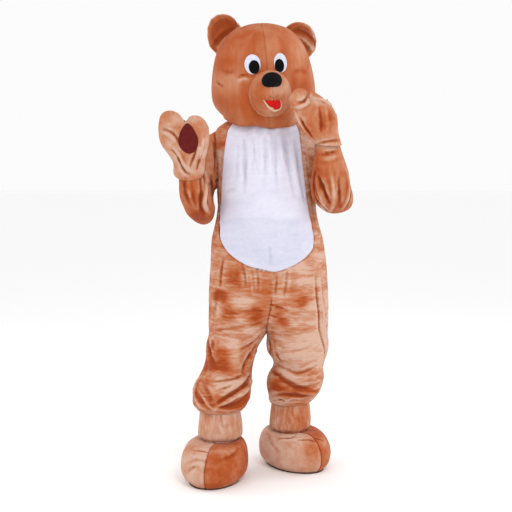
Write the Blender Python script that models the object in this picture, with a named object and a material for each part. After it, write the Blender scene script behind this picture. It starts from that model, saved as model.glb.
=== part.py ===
"""Bear mascot costume, filled out in its worn pose: a hollow head, a one-piece suit, two mitts and two boots.

Every soft piece is a wall of cloth. A form is built first as one surface, with each face marked for the piece
that it is cut from, and the pieces are then cut out of it with a narrow gap along each seam. Heights are above
the floor that the boots stand on; the wearer is at the origin's place, between the shoulders, and faces -Y.
"""

import math
from collections import namedtuple

import bmesh
import bpy
from mathutils import Matrix, Vector
from mathutils.bvhtree import BVHTree

COLLECTION_NAME = "bear_mascot_costume"
SHOULDER_HEIGHT = 1.400
SEAM_GAP = 0.0003
PLUSH = 0.003
FOAM_BACKED = 0.008
BOOT_CLOTH = 0.004
FELT = 0.002
# At a sharp bend a wall's outer points move no further out than this many times its thickness
MOST_MITRE = 1.5

RIGHT = -1
LEFT = 1
SIDE_NAMES = {RIGHT: "right", LEFT: "left"}

Finish = namedtuple("Finish", "colour roughness")
FINISHES = {
    "tan_plush": Finish((0.62, 0.25, 0.11), 0.85),
    "white_plush": Finish((0.86, 0.86, 0.93), 0.9),
    "black_plush": Finish((0.012, 0.012, 0.014), 0.9),
    "maroon_felt": Finish((0.16, 0.015, 0.015), 0.95),
    "red_felt": Finish((0.65, 0.01, 0.012), 0.9),
    "cream_felt": Finish((0.75, 0.62, 0.45), 0.9),
    "white_felt": Finish((0.82, 0.82, 0.88), 0.8),
    "zip_tape": Finish((0.28, 0.12, 0.06), 0.7),
    "boot_sole": Finish((0.20, 0.10, 0.06), 0.9),
}


def smooth_table(table, at):
    """The row of a table of named columns at a place between its rows, on a smooth curve through them."""
    place = table[0]._fields[0]
    falling = getattr(table[0], place) > getattr(table[-1], place)
    rows = list(reversed(table)) if falling else list(table)
    where = [getattr(row, place) for row in rows]
    at = min(max(at, where[0]), where[-1])
    step = max(i for i in range(len(rows) - 1) if where[i] <= at)
    span = where[step + 1] - where[step]
    t = (at - where[step]) / span

    def slope(i, column):
        low, high = max(i - 1, 0), min(i + 1, len(rows) - 1)
        return (rows[high][column] - rows[low][column]) / (where[high] - where[low])

    values = []
    for column in range(len(rows[0])):
        a, b = rows[step][column], rows[step + 1][column]
        ma, mb = slope(step, column) * span, slope(step + 1, column) * span
        values.append(
            (2 * t**3 - 3 * t**2 + 1) * a
            + (t**3 - 2 * t**2 + t) * ma
            + (3 * t**2 - 2 * t**3) * b
            + (t**3 - t**2) * mb
        )
    return type(table[0])(*values)


def between(start, end, share):
    return start + (end - start) * share


def bump(distance, width):
    """1 in the middle, falling softly to nothing about two widths away."""
    return math.exp(-0.5 * (distance / width) ** 2)


class Form:
    """One surface of sewn pieces, with a layer that names the piece each face is cut from."""

    def __init__(self):
        self.mesh = bmesh.new()
        self.piece = self.mesh.faces.layers.string.new("piece")
        self.gap = self.mesh.verts.layers.float.new("gap")

    def point(self, place, gap=SEAM_GAP):
        """A point of the surface, and how far apart the pieces lie where it is on a seam."""
        made = self.mesh.verts.new(place)
        made[self.gap] = gap
        return made

    def face(self, corners, piece):
        """A face through these points, in the order given; a corner that repeats is left out."""
        kept = [v for i, v in enumerate(corners) if v is not corners[i - 1]]
        if len(kept) < 3:
            return
        self.mesh.faces.new(kept)[self.piece] = piece.encode()

    def strip(self, rows, piece, closed=False, flip=False):
        """Faces between rows of points. A closed strip joins the last column to the first."""
        columns = len(rows[0]) - (0 if closed else 1)
        for upper, lower in zip(rows, rows[1:]):
            for i in range(columns):
                j = (i + 1) % len(upper)
                corners = [upper[i], lower[i], lower[j], upper[j]]
                self.face(corners[::-1] if flip else corners, piece(i) if callable(piece) else piece)

    def finish(self):
        self.mesh.normal_update()
        self.mesh.verts.index_update()
        self.mesh.faces.ensure_lookup_table()
        return self

    def tree(self):
        return BVHTree.FromBMesh(self.mesh)

    def faces_of(self, piece):
        return [f for f in self.mesh.faces if f[self.piece] == piece.encode()]


def across_edge(face, edge):
    """The direction in the face, square to the edge, that points into the face."""
    along = (edge.verts[1].co - edge.verts[0].co).normalized()
    inward = face.normal.cross(along)
    if inward.dot(face.calc_center_median() - edge.verts[0].co) < 0:
        inward.negate()
    return inward


def triangles(corners, inner_of=None):
    """A face split along its shorter diagonal, so that both sides of a wall bend in the same places."""
    if len(corners) == 3:
        return [corners]
    a, b, c, d = corners
    places = [inner_of[v] if inner_of else v.co for v in corners]
    if (places[0] - places[2]).length < (places[1] - places[3]).length:
        return [[a, b, c], [a, c, d]]
    return [[a, b, d], [b, c, d]]


def wall_mesh(name, form, faces, low, high, sewn=True, inner_of=None):
    """A closed wall over some faces of a form, from low to high along the form's own normals.

    A sewn wall stands back from its edges by half of the gap there. inner_of, where given, holds the place of
    the wall's inner side at each point of the form.
    """
    inside = set(faces)
    points = list(dict.fromkeys(v for f in faces for v in f.verts))
    rim = [e for f in faces for e in f.edges if sum(g in inside for g in e.link_faces) == 1]
    pull = {v: Vector() for v in points}
    for edge in rim:
        face = next(f for f in edge.link_faces if f in inside)
        for v in edge.verts:
            pull[v] += across_edge(face, edge)
    number = {v: i for i, v in enumerate(points)}
    count = len(points)
    outer_of = {}
    deep_of = inner_of or {}
    for v in points:
        normal = v.normal * min(v.calc_shell_factor(), MOST_MITRE)
        outer_of[v] = v.co + normal * high
        if not inner_of:
            deep_of[v] = v.co + normal * low

    def across_wall(v, w):
        return (outer_of[v] - deep_of[w]).length

    outer, inner = [], []
    for v in points:
        back = v[form.gap] / 2 if sewn and pull[v].length > 1e-9 else 0.0
        shift = pull[v].normalized() * back if back else Vector()
        outer.append(outer_of[v] + shift)
        inner.append(deep_of[v] + shift)
    polygons = []
    for f in faces:
        for triangle in triangles(list(f.verts), inner_of):
            side = [number[v] for v in triangle]
            polygons += [side, [i + count for i in reversed(side)]]
    for face in faces:
        for loop in face.loops:
            if sum(g in inside for g in loop.edge.link_faces) == 1:
                v, w = loop.vert, loop.link_loop_next.vert
                a, b = number[v], number[w]
                if across_wall(v, w) < across_wall(w, v):
                    polygons += [[b, a, b + count], [a, a + count, b + count]]
                else:
                    polygons += [[b, a, a + count], [b, a + count, b + count]]
    mesh = bpy.data.meshes.new(name)
    mesh.from_pydata(outer + inner, [], polygons)
    return mesh


def prism_mesh(name, outline, near, far):
    """A prism along Y through an outline of (across, height) points, which go round anticlockwise."""
    count = len(outline)
    points = [(x, y, z) for y in (near, far) for x, z in outline]
    polygons = [list(range(count)), [i + count for i in reversed(range(count))]]
    polygons += [[(i + 1) % count, i, i + count, (i + 1) % count + count] for i in range(count)]
    mesh = bpy.data.meshes.new(name)
    mesh.from_pydata(points, [], polygons)
    return mesh


def ellipsoid_mesh(name, centre, half_sizes, columns, rows):
    made = bmesh.new()
    placing = Matrix.Translation(centre) @ Matrix.Diagonal((*half_sizes, 1)) @ Matrix.Rotation(math.pi / 2, 4, "X")
    bmesh.ops.create_uvsphere(made, u_segments=columns, v_segments=rows, radius=1, matrix=placing)
    mesh = bpy.data.meshes.new(name)
    made.to_mesh(mesh)
    made.free()
    return mesh


def combined(name, mesh, cutter, operation):
    """The exact Boolean of two closed meshes."""
    scene_objects = bpy.context.scene.collection.objects
    body, tool = bpy.data.objects.new("body", mesh), bpy.data.objects.new("tool", cutter)
    scene_objects.link(body)
    scene_objects.link(tool)
    cut = body.modifiers.new("Cut", "BOOLEAN")
    cut.solver = "EXACT"
    cut.operation = operation
    cut.object = tool
    graph = bpy.context.evaluated_depsgraph_get()
    result = bpy.data.meshes.new_from_object(body.evaluated_get(graph))
    bpy.data.objects.remove(body)
    bpy.data.objects.remove(tool)
    bpy.data.meshes.remove(mesh)
    bpy.data.meshes.remove(cutter)
    result.name = name
    return result


def facing_faces(form, pieces, outline, margin, toward=-1):
    """The faces of some pieces that lie near an outline of (across, height) points, and face front (-1) or back."""
    low = [min(point[i] for point in outline) - margin for i in (0, 1)]
    high = [max(point[i] for point in outline) + margin for i in (0, 1)]
    found = []
    for piece in pieces:
        for f in form.faces_of(piece):
            corners = [(v.co.x, v.co.z) for v in f.verts]
            reaches = all(
                max(c[i] for c in corners) > low[i] and min(c[i] for c in corners) < high[i] for i in (0, 1)
            )
            if f.normal.y * toward > 0 and reaches:
                found.append(f)
    return found


def oval(across, height, half_width, half_height, count, lean=0.0):
    outline = []
    for k in range(count):
        turn = 2 * math.pi * k / count
        x, z = half_width * math.cos(turn), half_height * math.sin(turn)
        outline.append(
            (across + x * math.cos(lean) + z * math.sin(lean), height - x * math.sin(lean) + z * math.cos(lean))
        )
    return outline


def material(name):
    found = bpy.data.materials.get(name)
    if found:
        return found
    made = bpy.data.materials.new(name)
    made.use_nodes = True
    shader = made.node_tree.nodes["Principled BSDF"]
    finish = FINISHES[name]
    shader.inputs["Base Color"].default_value = (*finish.colour, 1)
    shader.inputs["Roughness"].default_value = finish.roughness
    shader.inputs["Metallic"].default_value = 0
    return made


def add_piece(name, mesh, finish, parent):
    piece = bpy.data.objects.new(name, mesh)
    mesh.materials.clear()
    mesh.materials.append(material(finish))
    mesh.shade_smooth()
    mesh.set_sharp_from_angle(angle=math.radians(50))
    bpy.data.collections[COLLECTION_NAME].objects.link(piece)
    piece.parent = parent
    return piece


def cut_piece(name, form, finish, parent, wall=PLUSH):
    """The named piece of a form, as a wall that reaches inwards from the form."""
    return add_piece(name, wall_mesh(name, form, form.faces_of(name), -wall, 0), finish, parent)


def empty(name, parent=None, location=(0, 0, 0), turn=(0, 0, 0)):
    made = bpy.data.objects.new(name, None)
    bpy.data.collections[COLLECTION_NAME].objects.link(made)
    made.parent = parent
    made.location = location
    made.rotation_euler = turn
    return made


# The suit's body and legs

BodySection = namedtuple("BodySection", "height right left front back cleft")
BODY_SECTIONS = [
    BodySection(1.452, 0.088, 0.088, 0.080, 0.080, 0.0),
    BodySection(1.440, 0.118, 0.118, 0.090, 0.090, 0.0),
    BodySection(1.425, 0.150, 0.150, 0.098, 0.098, 0.0),
    BodySection(1.408, 0.180, 0.178, 0.106, 0.106, 0.0),
    BodySection(1.385, 0.203, 0.196, 0.114, 0.112, 0.0),
    BodySection(1.320, 0.206, 0.198, 0.130, 0.126, 0.0),
    BodySection(1.240, 0.202, 0.196, 0.143, 0.136, 0.0),
    BodySection(1.150, 0.198, 0.196, 0.153, 0.144, 0.0),
    BodySection(1.050, 0.200, 0.202, 0.160, 0.148, 0.0),
    BodySection(0.950, 0.222, 0.227, 0.165, 0.154, 0.0),
    BodySection(0.850, 0.227, 0.243, 0.165, 0.162, 0.02),
    BodySection(0.750, 0.234, 0.250, 0.160, 0.166, 0.12),
    BodySection(0.680, 0.236, 0.252, 0.152, 0.160, 0.33),
    BodySection(0.620, 0.237, 0.252, 0.142, 0.150, 0.66),
    BodySection(0.580, 0.237, 0.252, 0.134, 0.140, 0.90),
    BodySection(0.558, 0.237, 0.252, 0.130, 0.135, 1.0),
]
NECK_HEIGHT = BODY_SECTIONS[0].height
ZIP_FOOT = 0.86
ZIP_SLOT = 0.005
CROTCH_HEIGHT = BODY_SECTIONS[-1].height

LegSection = namedtuple("LegSection", "height across forward half_width half_depth")
LEG_SECTIONS = {
    RIGHT: [
        LegSection(0.558, -0.1185, 0.000, 0.1185, 0.132),
        LegSection(0.520, -0.138, -0.010, 0.110, 0.124),
        LegSection(0.470, -0.149, -0.028, 0.103, 0.114),
        LegSection(0.430, -0.156, -0.045, 0.100, 0.110),
        LegSection(0.395, -0.166, -0.062, 0.107, 0.116),
        LegSection(0.360, -0.173, -0.078, 0.113, 0.122),
        LegSection(0.325, -0.178, -0.090, 0.113, 0.120),
        LegSection(0.298, -0.186, -0.097, 0.110, 0.110),
        LegSection(0.279, -0.187, -0.100, 0.099, 0.099),
        LegSection(0.268, -0.188, -0.100, 0.0881, 0.0881),
    ],
    LEFT: [
        LegSection(0.558, 0.1260, 0.000, 0.1260, 0.132),
        LegSection(0.520, 0.1275, 0.002, 0.1285, 0.128),
        LegSection(0.470, 0.129, 0.006, 0.120, 0.120),
        LegSection(0.430, 0.131, 0.012, 0.104, 0.112),
        LegSection(0.395, 0.124, 0.018, 0.112, 0.116),
        LegSection(0.360, 0.118, 0.024, 0.117, 0.118),
        LegSection(0.325, 0.113, 0.030, 0.110, 0.114),
        LegSection(0.298, 0.109, 0.035, 0.101, 0.104),
        LegSection(0.279, 0.102, 0.039, 0.094, 0.095),
        LegSection(0.268, 0.098, 0.040, 0.0846, 0.0846),
    ],
}
HEM_HEIGHT = 0.268
HEM_GATHERS = 9
HEM_GATHER_DEPTH = 0.0022
HEM_GATHER_REACH = 0.028

# The centre line of the front, which the twist of the suit carries to the wearer's left over the belly
CentreShift = namedtuple("CentreShift", "height shift")
CENTRE_SHIFTS = [
    CentreShift(1.452, 0.0),
    CentreShift(1.150, 0.0),
    CentreShift(0.950, 0.014),
    CentreShift(0.832, 0.028),
    CentreShift(0.700, 0.018),
    CentreShift(0.558, 0.0),
]

# The white belly panel's two edges, as distances from the suit's middle plane
BellyEdge = namedtuple("BellyEdge", "height right left")
BELLY_EDGES = [
    BellyEdge(1.452, -0.067, 0.060),
    BellyEdge(1.440, -0.090, 0.078),
    BellyEdge(1.425, -0.118, 0.100),
    BellyEdge(1.408, -0.140, 0.115),
    BellyEdge(1.385, -0.155, 0.125),
    BellyEdge(1.270, -0.173, 0.140),
    BellyEdge(1.150, -0.184, 0.155),
    BellyEdge(1.070, -0.190, 0.168),
    BellyEdge(1.000, -0.192, 0.182),
    BellyEdge(0.955, -0.187, 0.188),
    BellyEdge(0.920, -0.168, 0.184),
    BellyEdge(0.890, -0.138, 0.158),
    BellyEdge(0.865, -0.098, 0.120),
    BellyEdge(0.846, -0.048, 0.080),
    BellyEdge(0.832, 0.026, 0.032),
]
BELLY_TIP_HEIGHT = 0.832

ARMHOLE_TOP = 1.385
ARMHOLE_BOTTOM = 1.150
ARMHOLE_STEPS = 8
ARMHOLE_FRONT = math.radians(13)
ARMHOLE_BACK = math.radians(44)
ARMHOLE_ROUNDNESS = 0.6
FRONT_COLUMNS = 8
BACK_COLUMNS = 7
BELLY_COLUMNS = 8

# Folds in the suit: where each is centred (a turn of 0 is the side seam, 90 the front, 180 the inner leg, and
# below 0 the back), its half length and half width, its height above the cloth (below 0 for a trough), and how
# far it leans from upright
Fold = namedtuple("Fold", "side turn height half_length half_width rise lean")
SUIT_FOLDS = [
    Fold(RIGHT, 20, 0.420, 0.090, 0.020, -0.014, -20),
    Fold(RIGHT, 60, 0.345, 0.110, 0.016, 0.012, -62),
    Fold(RIGHT, 75, 0.318, 0.100, 0.014, -0.012, -58),
    Fold(RIGHT, 150, 0.420, 0.080, 0.018, -0.010, -35),
    Fold(RIGHT, 10, 0.350, 0.060, 0.022, 0.012, 75),
    Fold(RIGHT, 35, 0.700, 0.110, 0.022, -0.007, 12),
    Fold(RIGHT, 130, 0.520, 0.090, 0.020, -0.008, -30),
    Fold(RIGHT, -70, 0.350, 0.090, 0.018, 0.010, 55),
    Fold(RIGHT, -110, 0.400, 0.090, 0.018, -0.010, 40),
    Fold(RIGHT, -50, 0.620, 0.120, 0.022, -0.008, 25),
    Fold(LEFT, 160, 0.438, 0.060, 0.014, -0.020, 85),
    Fold(LEFT, 110, 0.420, 0.100, 0.018, -0.013, 60),
    Fold(LEFT, 80, 0.330, 0.120, 0.015, 0.011, 84),
    Fold(LEFT, 60, 0.300, 0.100, 0.012, -0.010, 80),
    Fold(LEFT, 150, 0.380, 0.070, 0.020, 0.010, 40),
    Fold(LEFT, 30, 0.480, 0.120, 0.022, -0.006, -12),
    Fold(LEFT, 25, 0.800, 0.140, 0.018, -0.008, -4),
    Fold(LEFT, -70, 0.340, 0.100, 0.018, 0.010, -60),
    Fold(LEFT, -120, 0.400, 0.090, 0.018, -0.010, -45),
    Fold(LEFT, -50, 0.620, 0.120, 0.022, -0.008, -25),
    Fold(RIGHT, -60, 1.050, 0.160, 0.025, -0.009, 14),
    Fold(LEFT, -60, 1.020, 0.160, 0.025, -0.009, -14),
    Fold(RIGHT, -80, 0.900, 0.100, 0.020, 0.007, 60),
    Fold(LEFT, -80, 0.870, 0.100, 0.020, 0.007, -60),
]
FOLD_ARC = 0.13
# A fold's height falls off along its length over this share of its half length
FOLD_TAPER = 1 / 1.6
# Folds fade out this near the middle plane, and this near the hems
CENTRE_FADE = 0.05
HEM_FADE = 0.03

# Gathers where the belly panel is drawn in at the neck: across is the place at the neck, from the middle plane,
# and spread is how far it has moved outwards when it fades at its foot. Each starts at a part of its full depth
# at the neck, deepens fast below it, and fades slowly towards its foot
Gather = namedtuple("Gather", "across spread foot half_width rise")
NECK_GATHERS = [
    Gather(-0.098, -0.030, 1.200, 0.010, 0.004),
    Gather(-0.072, -0.022, 1.120, 0.009, -0.010),
    Gather(-0.048, -0.014, 1.160, 0.009, 0.006),
    Gather(-0.026, -0.008, 1.220, 0.008, -0.006),
    Gather(-0.004, 0.000, 1.180, 0.009, 0.006),
    Gather(0.020, 0.008, 1.230, 0.008, -0.006),
    Gather(0.042, 0.018, 1.150, 0.008, 0.007),
    Gather(0.062, 0.032, 1.100, 0.008, -0.007),
    Gather(0.082, 0.050, 1.050, 0.008, 0.006),
    Gather(0.102, 0.062, 1.020, 0.009, -0.006),
]

GATHER_AT_NECK = 0.4
GATHER_DEEPENING = 4
GATHER_FADE = 0.7


def fold_rise(side, turn, height):
    """How far the cloth stands out at a place on one side of the suit, from all its folds."""
    total = 0.0
    for fold in SUIT_FOLDS:
        if fold.side != side:
            continue
        away = (math.degrees(turn) - fold.turn + 180) % 360 - 180
        along_arc = math.radians(away) * FOLD_ARC
        upward = height - fold.height
        lean = math.radians(fold.lean)
        along = upward * math.cos(lean) + along_arc * math.sin(lean)
        across = along_arc * math.cos(lean) - upward * math.sin(lean)
        total += fold.rise * bump(along, fold.half_length * FOLD_TAPER) * bump(across, fold.half_width)
    return total


def gather_rise(x, height):
    """How far the belly panel stands out at a place, from the gathers at the neck."""
    total = 0.0
    for gather in NECK_GATHERS:
        down = (NECK_HEIGHT - height) / (NECK_HEIGHT - gather.foot)
        if down >= 1:
            continue
        narrowing = smooth_table(BELLY_EDGES, height).left / BELLY_EDGES[4].left
        middle = gather.across * min(1.0, narrowing) + gather.spread * down
        depth = (1 - down) ** GATHER_FADE * min(1.0, GATHER_AT_NECK + GATHER_DEEPENING * down)
        total += gather.rise * bump(x - middle, gather.half_width) * depth
    return total


def body_row(height):
    row = smooth_table(BODY_SECTIONS, height)
    return row._replace(cleft=min(1.0, max(0.0, row.cleft)))


def body_place(side, turn, height):
    """A point of the suit's body: a turn of 0 is the side, 90 degrees the front, and -90 the back."""
    row = body_row(height)
    width = row.right if side == RIGHT else row.left
    half = width / (1 + row.cleft)
    depth = row.front if turn > 0 else row.back
    flat = Vector((side * (half * row.cleft + half * math.cos(turn)), -depth * math.sin(turn), 0))
    outward = Vector((side * math.cos(turn) / half, -math.sin(turn) / depth, 0)).normalized()
    seam_fade = min(1.0, abs(flat.x) / CENTRE_FADE)
    rise = fold_rise(side, turn, height) * seam_fade
    front = max(0.0, math.sin(turn)) ** 2
    if turn > 0:
        flat.x += smooth_table(CENTRE_SHIFTS, height).shift * front
        rise += gather_rise(flat.x, height) * front
    return flat + outward * rise + Vector((0, 0, height))


def turn_at(side, x, height):
    """The turn at which the front of the body is this far from its middle plane."""
    low, high = 0.0, seam_turn(height)
    for _ in range(40):
        middle = (low + high) / 2
        beyond = side * (body_place(side, middle, height).x - x) > 0
        low, high = (middle, high) if beyond else (low, middle)
    return (low + high) / 2


def seam_turn(height):
    """The turn at which a side's cloth meets the middle plane."""
    return math.acos(-body_row(height).cleft)


def leg_place(side, turn, height):
    row = smooth_table(LEG_SECTIONS[side], height)
    gathers = HEM_GATHER_DEPTH * math.cos(HEM_GATHERS * turn) * bump(height - HEM_HEIGHT, HEM_GATHER_REACH)
    below = min(1.0, max(0.0, (height - HEM_HEIGHT) / HEM_FADE))
    rise = gathers + fold_rise(side, turn, height) * below
    outward = Vector((side * math.cos(turn), -math.sin(turn), 0))
    middle = Vector((row.across, row.forward, height))
    spread = Vector((outward.x * row.half_width, outward.y * row.half_depth, 0))
    return middle + spread + outward * rise


def armhole_turn(height, widest):
    """How far round from the side seam the armhole's edge lies, at a height."""
    share = (height - ARMHOLE_BOTTOM) / (ARMHOLE_TOP - ARMHOLE_BOTTOM)
    if not 0 < share < 1:
        return 0.0
    return widest * math.sin(math.pi * share) ** ARMHOLE_ROUNDNESS


def row_heights():
    """Heights of the suit's rows of points: neck to armhole, armhole, down to the belly's tip, crotch."""
    shoulder = [1.452, 1.440, 1.425, 1.408]
    drop = (ARMHOLE_TOP - ARMHOLE_BOTTOM) / ARMHOLE_STEPS
    armhole = [ARMHOLE_TOP - i * drop for i in range(ARMHOLE_STEPS + 1)]
    belly = [1.085, 1.020, 0.965, 0.922, 0.890, 0.865, 0.846, BELLY_TIP_HEIGHT]
    seat = [0.780, 0.720, 0.665, 0.620, 0.585, CROTCH_HEIGHT]
    return shoulder + armhole + belly + seat


LEG_HEIGHTS = [0.520, 0.482, 0.450, 0.422, 0.396, 0.370, 0.345, 0.322, 0.300, 0.283, HEM_HEIGHT]


def suit_body(form):
    """The suit's body and legs. It returns each armhole's ring of points, up the front and down the back."""
    heights = row_heights()
    tip_row = heights.index(BELLY_TIP_HEIGHT)
    crotch_row = len(heights) - 1
    hole_top, hole_bottom = heights.index(ARMHOLE_TOP), heights.index(ARMHOLE_BOTTOM)
    belly_edge, side_seam, centre_back = {}, {}, {}
    centre_front = {}
    for i, height in enumerate(heights):
        if i >= tip_row:
            centre_front[i] = form.point(body_place(RIGHT, seam_turn(height), height))
        if i < crotch_row:
            gap = ZIP_SLOT if height > ZIP_FOOT else SEAM_GAP
            centre_back[i] = form.point(body_place(RIGHT, -seam_turn(height), height), gap)
    centre_back[crotch_row] = centre_front[crotch_row]

    rings = {}
    for side in (RIGHT, LEFT):
        name = SIDE_NAMES[side]
        front_rows, back_rows = [], []
        for i, height in enumerate(heights):
            if i < tip_row:
                edges = smooth_table(BELLY_EDGES, height)
                start = turn_at(side, edges.right if side == RIGHT else edges.left, height)
                belly_edge[side, i] = form.point(body_place(side, start, height))
                first = belly_edge[side, i]
            else:
                start = seam_turn(height)
                first = centre_front[i]
            in_hole = hole_top < i < hole_bottom
            stop = armhole_turn(height, ARMHOLE_FRONT) if in_hole else 0.0
            row = [first]
            for k in range(1, FRONT_COLUMNS + 1):
                row.append(form.point(body_place(side, between(start, stop, k / FRONT_COLUMNS), height)))
            front_rows.append(row)
            behind = -armhole_turn(height, ARMHOLE_BACK) if in_hole else 0.0
            back = [form.point(body_place(side, behind, height)) if in_hole else row[-1]]
            for k in range(1, BACK_COLUMNS):
                turn = between(behind, -seam_turn(height), k / BACK_COLUMNS)
                back.append(form.point(body_place(side, turn, height)))
            back_rows.append(back + [centre_back[i]])
        for height in LEG_HEIGHTS:
            front = [form.point(leg_place(side, math.pi * (1 - k / FRONT_COLUMNS), height))
                     for k in range(FRONT_COLUMNS + 1)]
            back = [form.point(leg_place(side, -math.pi * k / BACK_COLUMNS, height))
                    for k in range(1, BACK_COLUMNS)]
            front_rows.append(front)
            back_rows.append([front[-1], *back, front[0]])
        form.strip(front_rows, f"front_{name}", flip=side == RIGHT)
        form.strip(back_rows, f"back_{name}", flip=side == RIGHT)
        hole = range(hole_top, hole_bottom + 1)
        up_the_front = [front_rows[i][-1] for i in reversed(hole)]
        down_the_back = [back_rows[i][0] for i in hole][1:-1]
        rings[side] = up_the_front + down_the_back

    belly_rows = []
    for i, height in enumerate(heights[:tip_row]):
        right, left = belly_edge[RIGHT, i], belly_edge[LEFT, i]
        row = [right]
        for k in range(1, 2 * BELLY_COLUMNS):
            x = between(right.co.x, left.co.x, k / (2 * BELLY_COLUMNS))
            side = RIGHT if x < smooth_table(CENTRE_SHIFTS, height).shift else LEFT
            row.append(form.point(body_place(side, turn_at(side, x, height), height)))
        belly_rows.append(row + [left])
    belly_rows.append([centre_front[tip_row]] * (2 * BELLY_COLUMNS + 1))
    form.strip(belly_rows, "belly")
    return rings


# The sleeves, as sections across the arm from the shoulder to the wrist. Each lies between a point under the
# arm, next to the body, and one over it, on the outside

ArmSection = namedtuple("ArmSection", "along under_x under_y under_z over_x over_y over_z half_deep")
ARM_SECTIONS = {
    RIGHT: [
        ArmSection(0.00, -0.198, 0.012, 1.150, -0.203, 0.012, 1.385, 0.085),
        ArmSection(0.10, -0.204, 0.016, 1.146, -0.262, 0.016, 1.345, 0.080),
        ArmSection(0.20, -0.207, 0.020, 1.136, -0.303, 0.020, 1.280, 0.076),
        ArmSection(0.30, -0.208, 0.022, 1.118, -0.322, 0.022, 1.210, 0.073),
        ArmSection(0.40, -0.208, 0.018, 1.094, -0.322, 0.026, 1.140, 0.070),
        ArmSection(0.50, -0.208, 0.004, 1.068, -0.314, 0.012, 1.085, 0.064),
        ArmSection(0.60, -0.208, -0.032, 1.064, -0.308, -0.032, 1.062, 0.056),
        ArmSection(0.72, -0.207, -0.088, 1.086, -0.324, -0.088, 1.078, 0.058),
        ArmSection(0.84, -0.219, -0.140, 1.128, -0.334, -0.140, 1.120, 0.058),
        ArmSection(0.94, -0.239, -0.184, 1.180, -0.339, -0.184, 1.176, 0.052),
        ArmSection(1.00, -0.257, -0.205, 1.223, -0.338, -0.205, 1.221, 0.037),
    ],
    LEFT: [
        ArmSection(0.00, 0.196, 0.012, 1.150, 0.198, 0.012, 1.385, 0.085),
        ArmSection(0.10, 0.203, 0.016, 1.148, 0.262, 0.016, 1.345, 0.080),
        ArmSection(0.20, 0.206, 0.016, 1.140, 0.303, 0.014, 1.282, 0.076),
        ArmSection(0.30, 0.207, 0.012, 1.128, 0.325, 0.008, 1.218, 0.072),
        ArmSection(0.40, 0.207, 0.000, 1.112, 0.336, -0.004, 1.160, 0.068),
        ArmSection(0.50, 0.203, -0.040, 1.108, 0.336, -0.044, 1.128, 0.060),
        ArmSection(0.60, 0.188, -0.098, 1.110, 0.335, -0.098, 1.112, 0.055),
        ArmSection(0.70, 0.176, -0.150, 1.136, 0.331, -0.150, 1.136, 0.056),
        ArmSection(0.80, 0.170, -0.184, 1.185, 0.320, -0.184, 1.185, 0.060),
        ArmSection(0.90, 0.174, -0.208, 1.252, 0.304, -0.208, 1.254, 0.056),
        ArmSection(0.96, 0.185, -0.226, 1.310, 0.276, -0.226, 1.314, 0.043),
        ArmSection(1.00, 0.191, -0.236, 1.350, 0.267, -0.236, 1.354, 0.036),
    ],
}
SLEEVE_STEPS = 15

# Folds in the sleeves: along the arm, round it from the underarm by way of the front, with half sizes
SleeveFold = namedtuple("SleeveFold", "side along turn half_length half_turn rise lean")
SLEEVE_FOLDS = [
    SleeveFold(RIGHT, 0.30, 0, 0.20, 26, -0.009, 0),
    SleeveFold(RIGHT, 0.40, 60, 0.16, 24, 0.008, 30),
    SleeveFold(RIGHT, 0.52, 200, 0.12, 30, 0.010, -20),
    SleeveFold(RIGHT, 0.70, 270, 0.14, 24, -0.009, 30),
    SleeveFold(RIGHT, 0.84, 310, 0.12, 22, 0.008, -30),
    SleeveFold(RIGHT, 0.92, 230, 0.08, 30, 0.007, 50),
    SleeveFold(RIGHT, 0.58, 90, 0.06, 50, -0.014, 0),
    SleeveFold(LEFT, 0.30, 20, 0.18, 26, -0.009, 0),
    SleeveFold(LEFT, 0.56, 90, 0.06, 50, -0.014, 0),
    SleeveFold(LEFT, 0.52, 190, 0.12, 30, 0.010, 20),
    SleeveFold(LEFT, 0.62, 330, 0.12, 20, -0.012, 20),
    SleeveFold(LEFT, 0.68, 350, 0.12, 18, 0.010, 25),
    SleeveFold(LEFT, 0.80, 250, 0.18, 26, -0.007, -8),
    SleeveFold(LEFT, 0.86, 290, 0.14, 22, 0.006, 6),
]


def arm_frames(side):
    """(how far along, centre, half the section under the arm, half of it to the front) at each step."""
    sections = [smooth_table(ARM_SECTIONS[side], i / SLEEVE_STEPS) for i in range(SLEEVE_STEPS + 1)]
    unders = [Vector((s.under_x, s.under_y, s.under_z)) for s in sections]
    overs = [Vector((s.over_x, s.over_y, s.over_z)) for s in sections]
    centres = [(under + over) / 2 for under, over in zip(unders, overs)]
    forward = Vector((0, -1, 0))
    frames = []
    for i, centre in enumerate(centres):
        ahead = centres[min(i + 1, SLEEVE_STEPS)] - centres[max(i - 1, 0)]
        under = unders[i] - centre
        square = ahead.cross(under).normalized()
        forward = square if square.dot(forward) > 0 else -square
        frames.append((sections[i].along, centre, under, forward * sections[i].half_deep))
    return frames


def sleeve_rise(side, along, turn):
    total = 0.0
    for fold in SLEEVE_FOLDS:
        if fold.side != side:
            continue
        away = (turn - fold.turn + 180) % 360 - 180 - fold.lean * (along - fold.along) / fold.half_length
        total += fold.rise * bump(along - fold.along, fold.half_length * FOLD_TAPER) * bump(away, fold.half_turn)
    return total


def arm_ring(side, frame, count):
    """Points round the arm at one step, from the underarm by way of the front."""
    along, centre, under, front = frame
    ring = []
    for k in range(count):
        turn = 2 * math.pi * k / count
        rise = sleeve_rise(side, along, math.degrees(turn))
        reach_under = under * (1 + rise / under.length)
        reach_front = front * (1 + rise / front.length)
        ring.append(centre + reach_under * math.cos(turn) + reach_front * math.sin(turn))
    return ring


def suit_sleeve(form, side, armhole):
    """A sleeve from the armhole's own points to the wrist."""
    rows = [armhole]
    for frame in arm_frames(side)[1:]:
        rows.append([form.point(p) for p in arm_ring(side, frame, len(armhole))])
    form.strip(rows, f"sleeve_{SIDE_NAMES[side]}", closed=True, flip=side == RIGHT)


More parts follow.
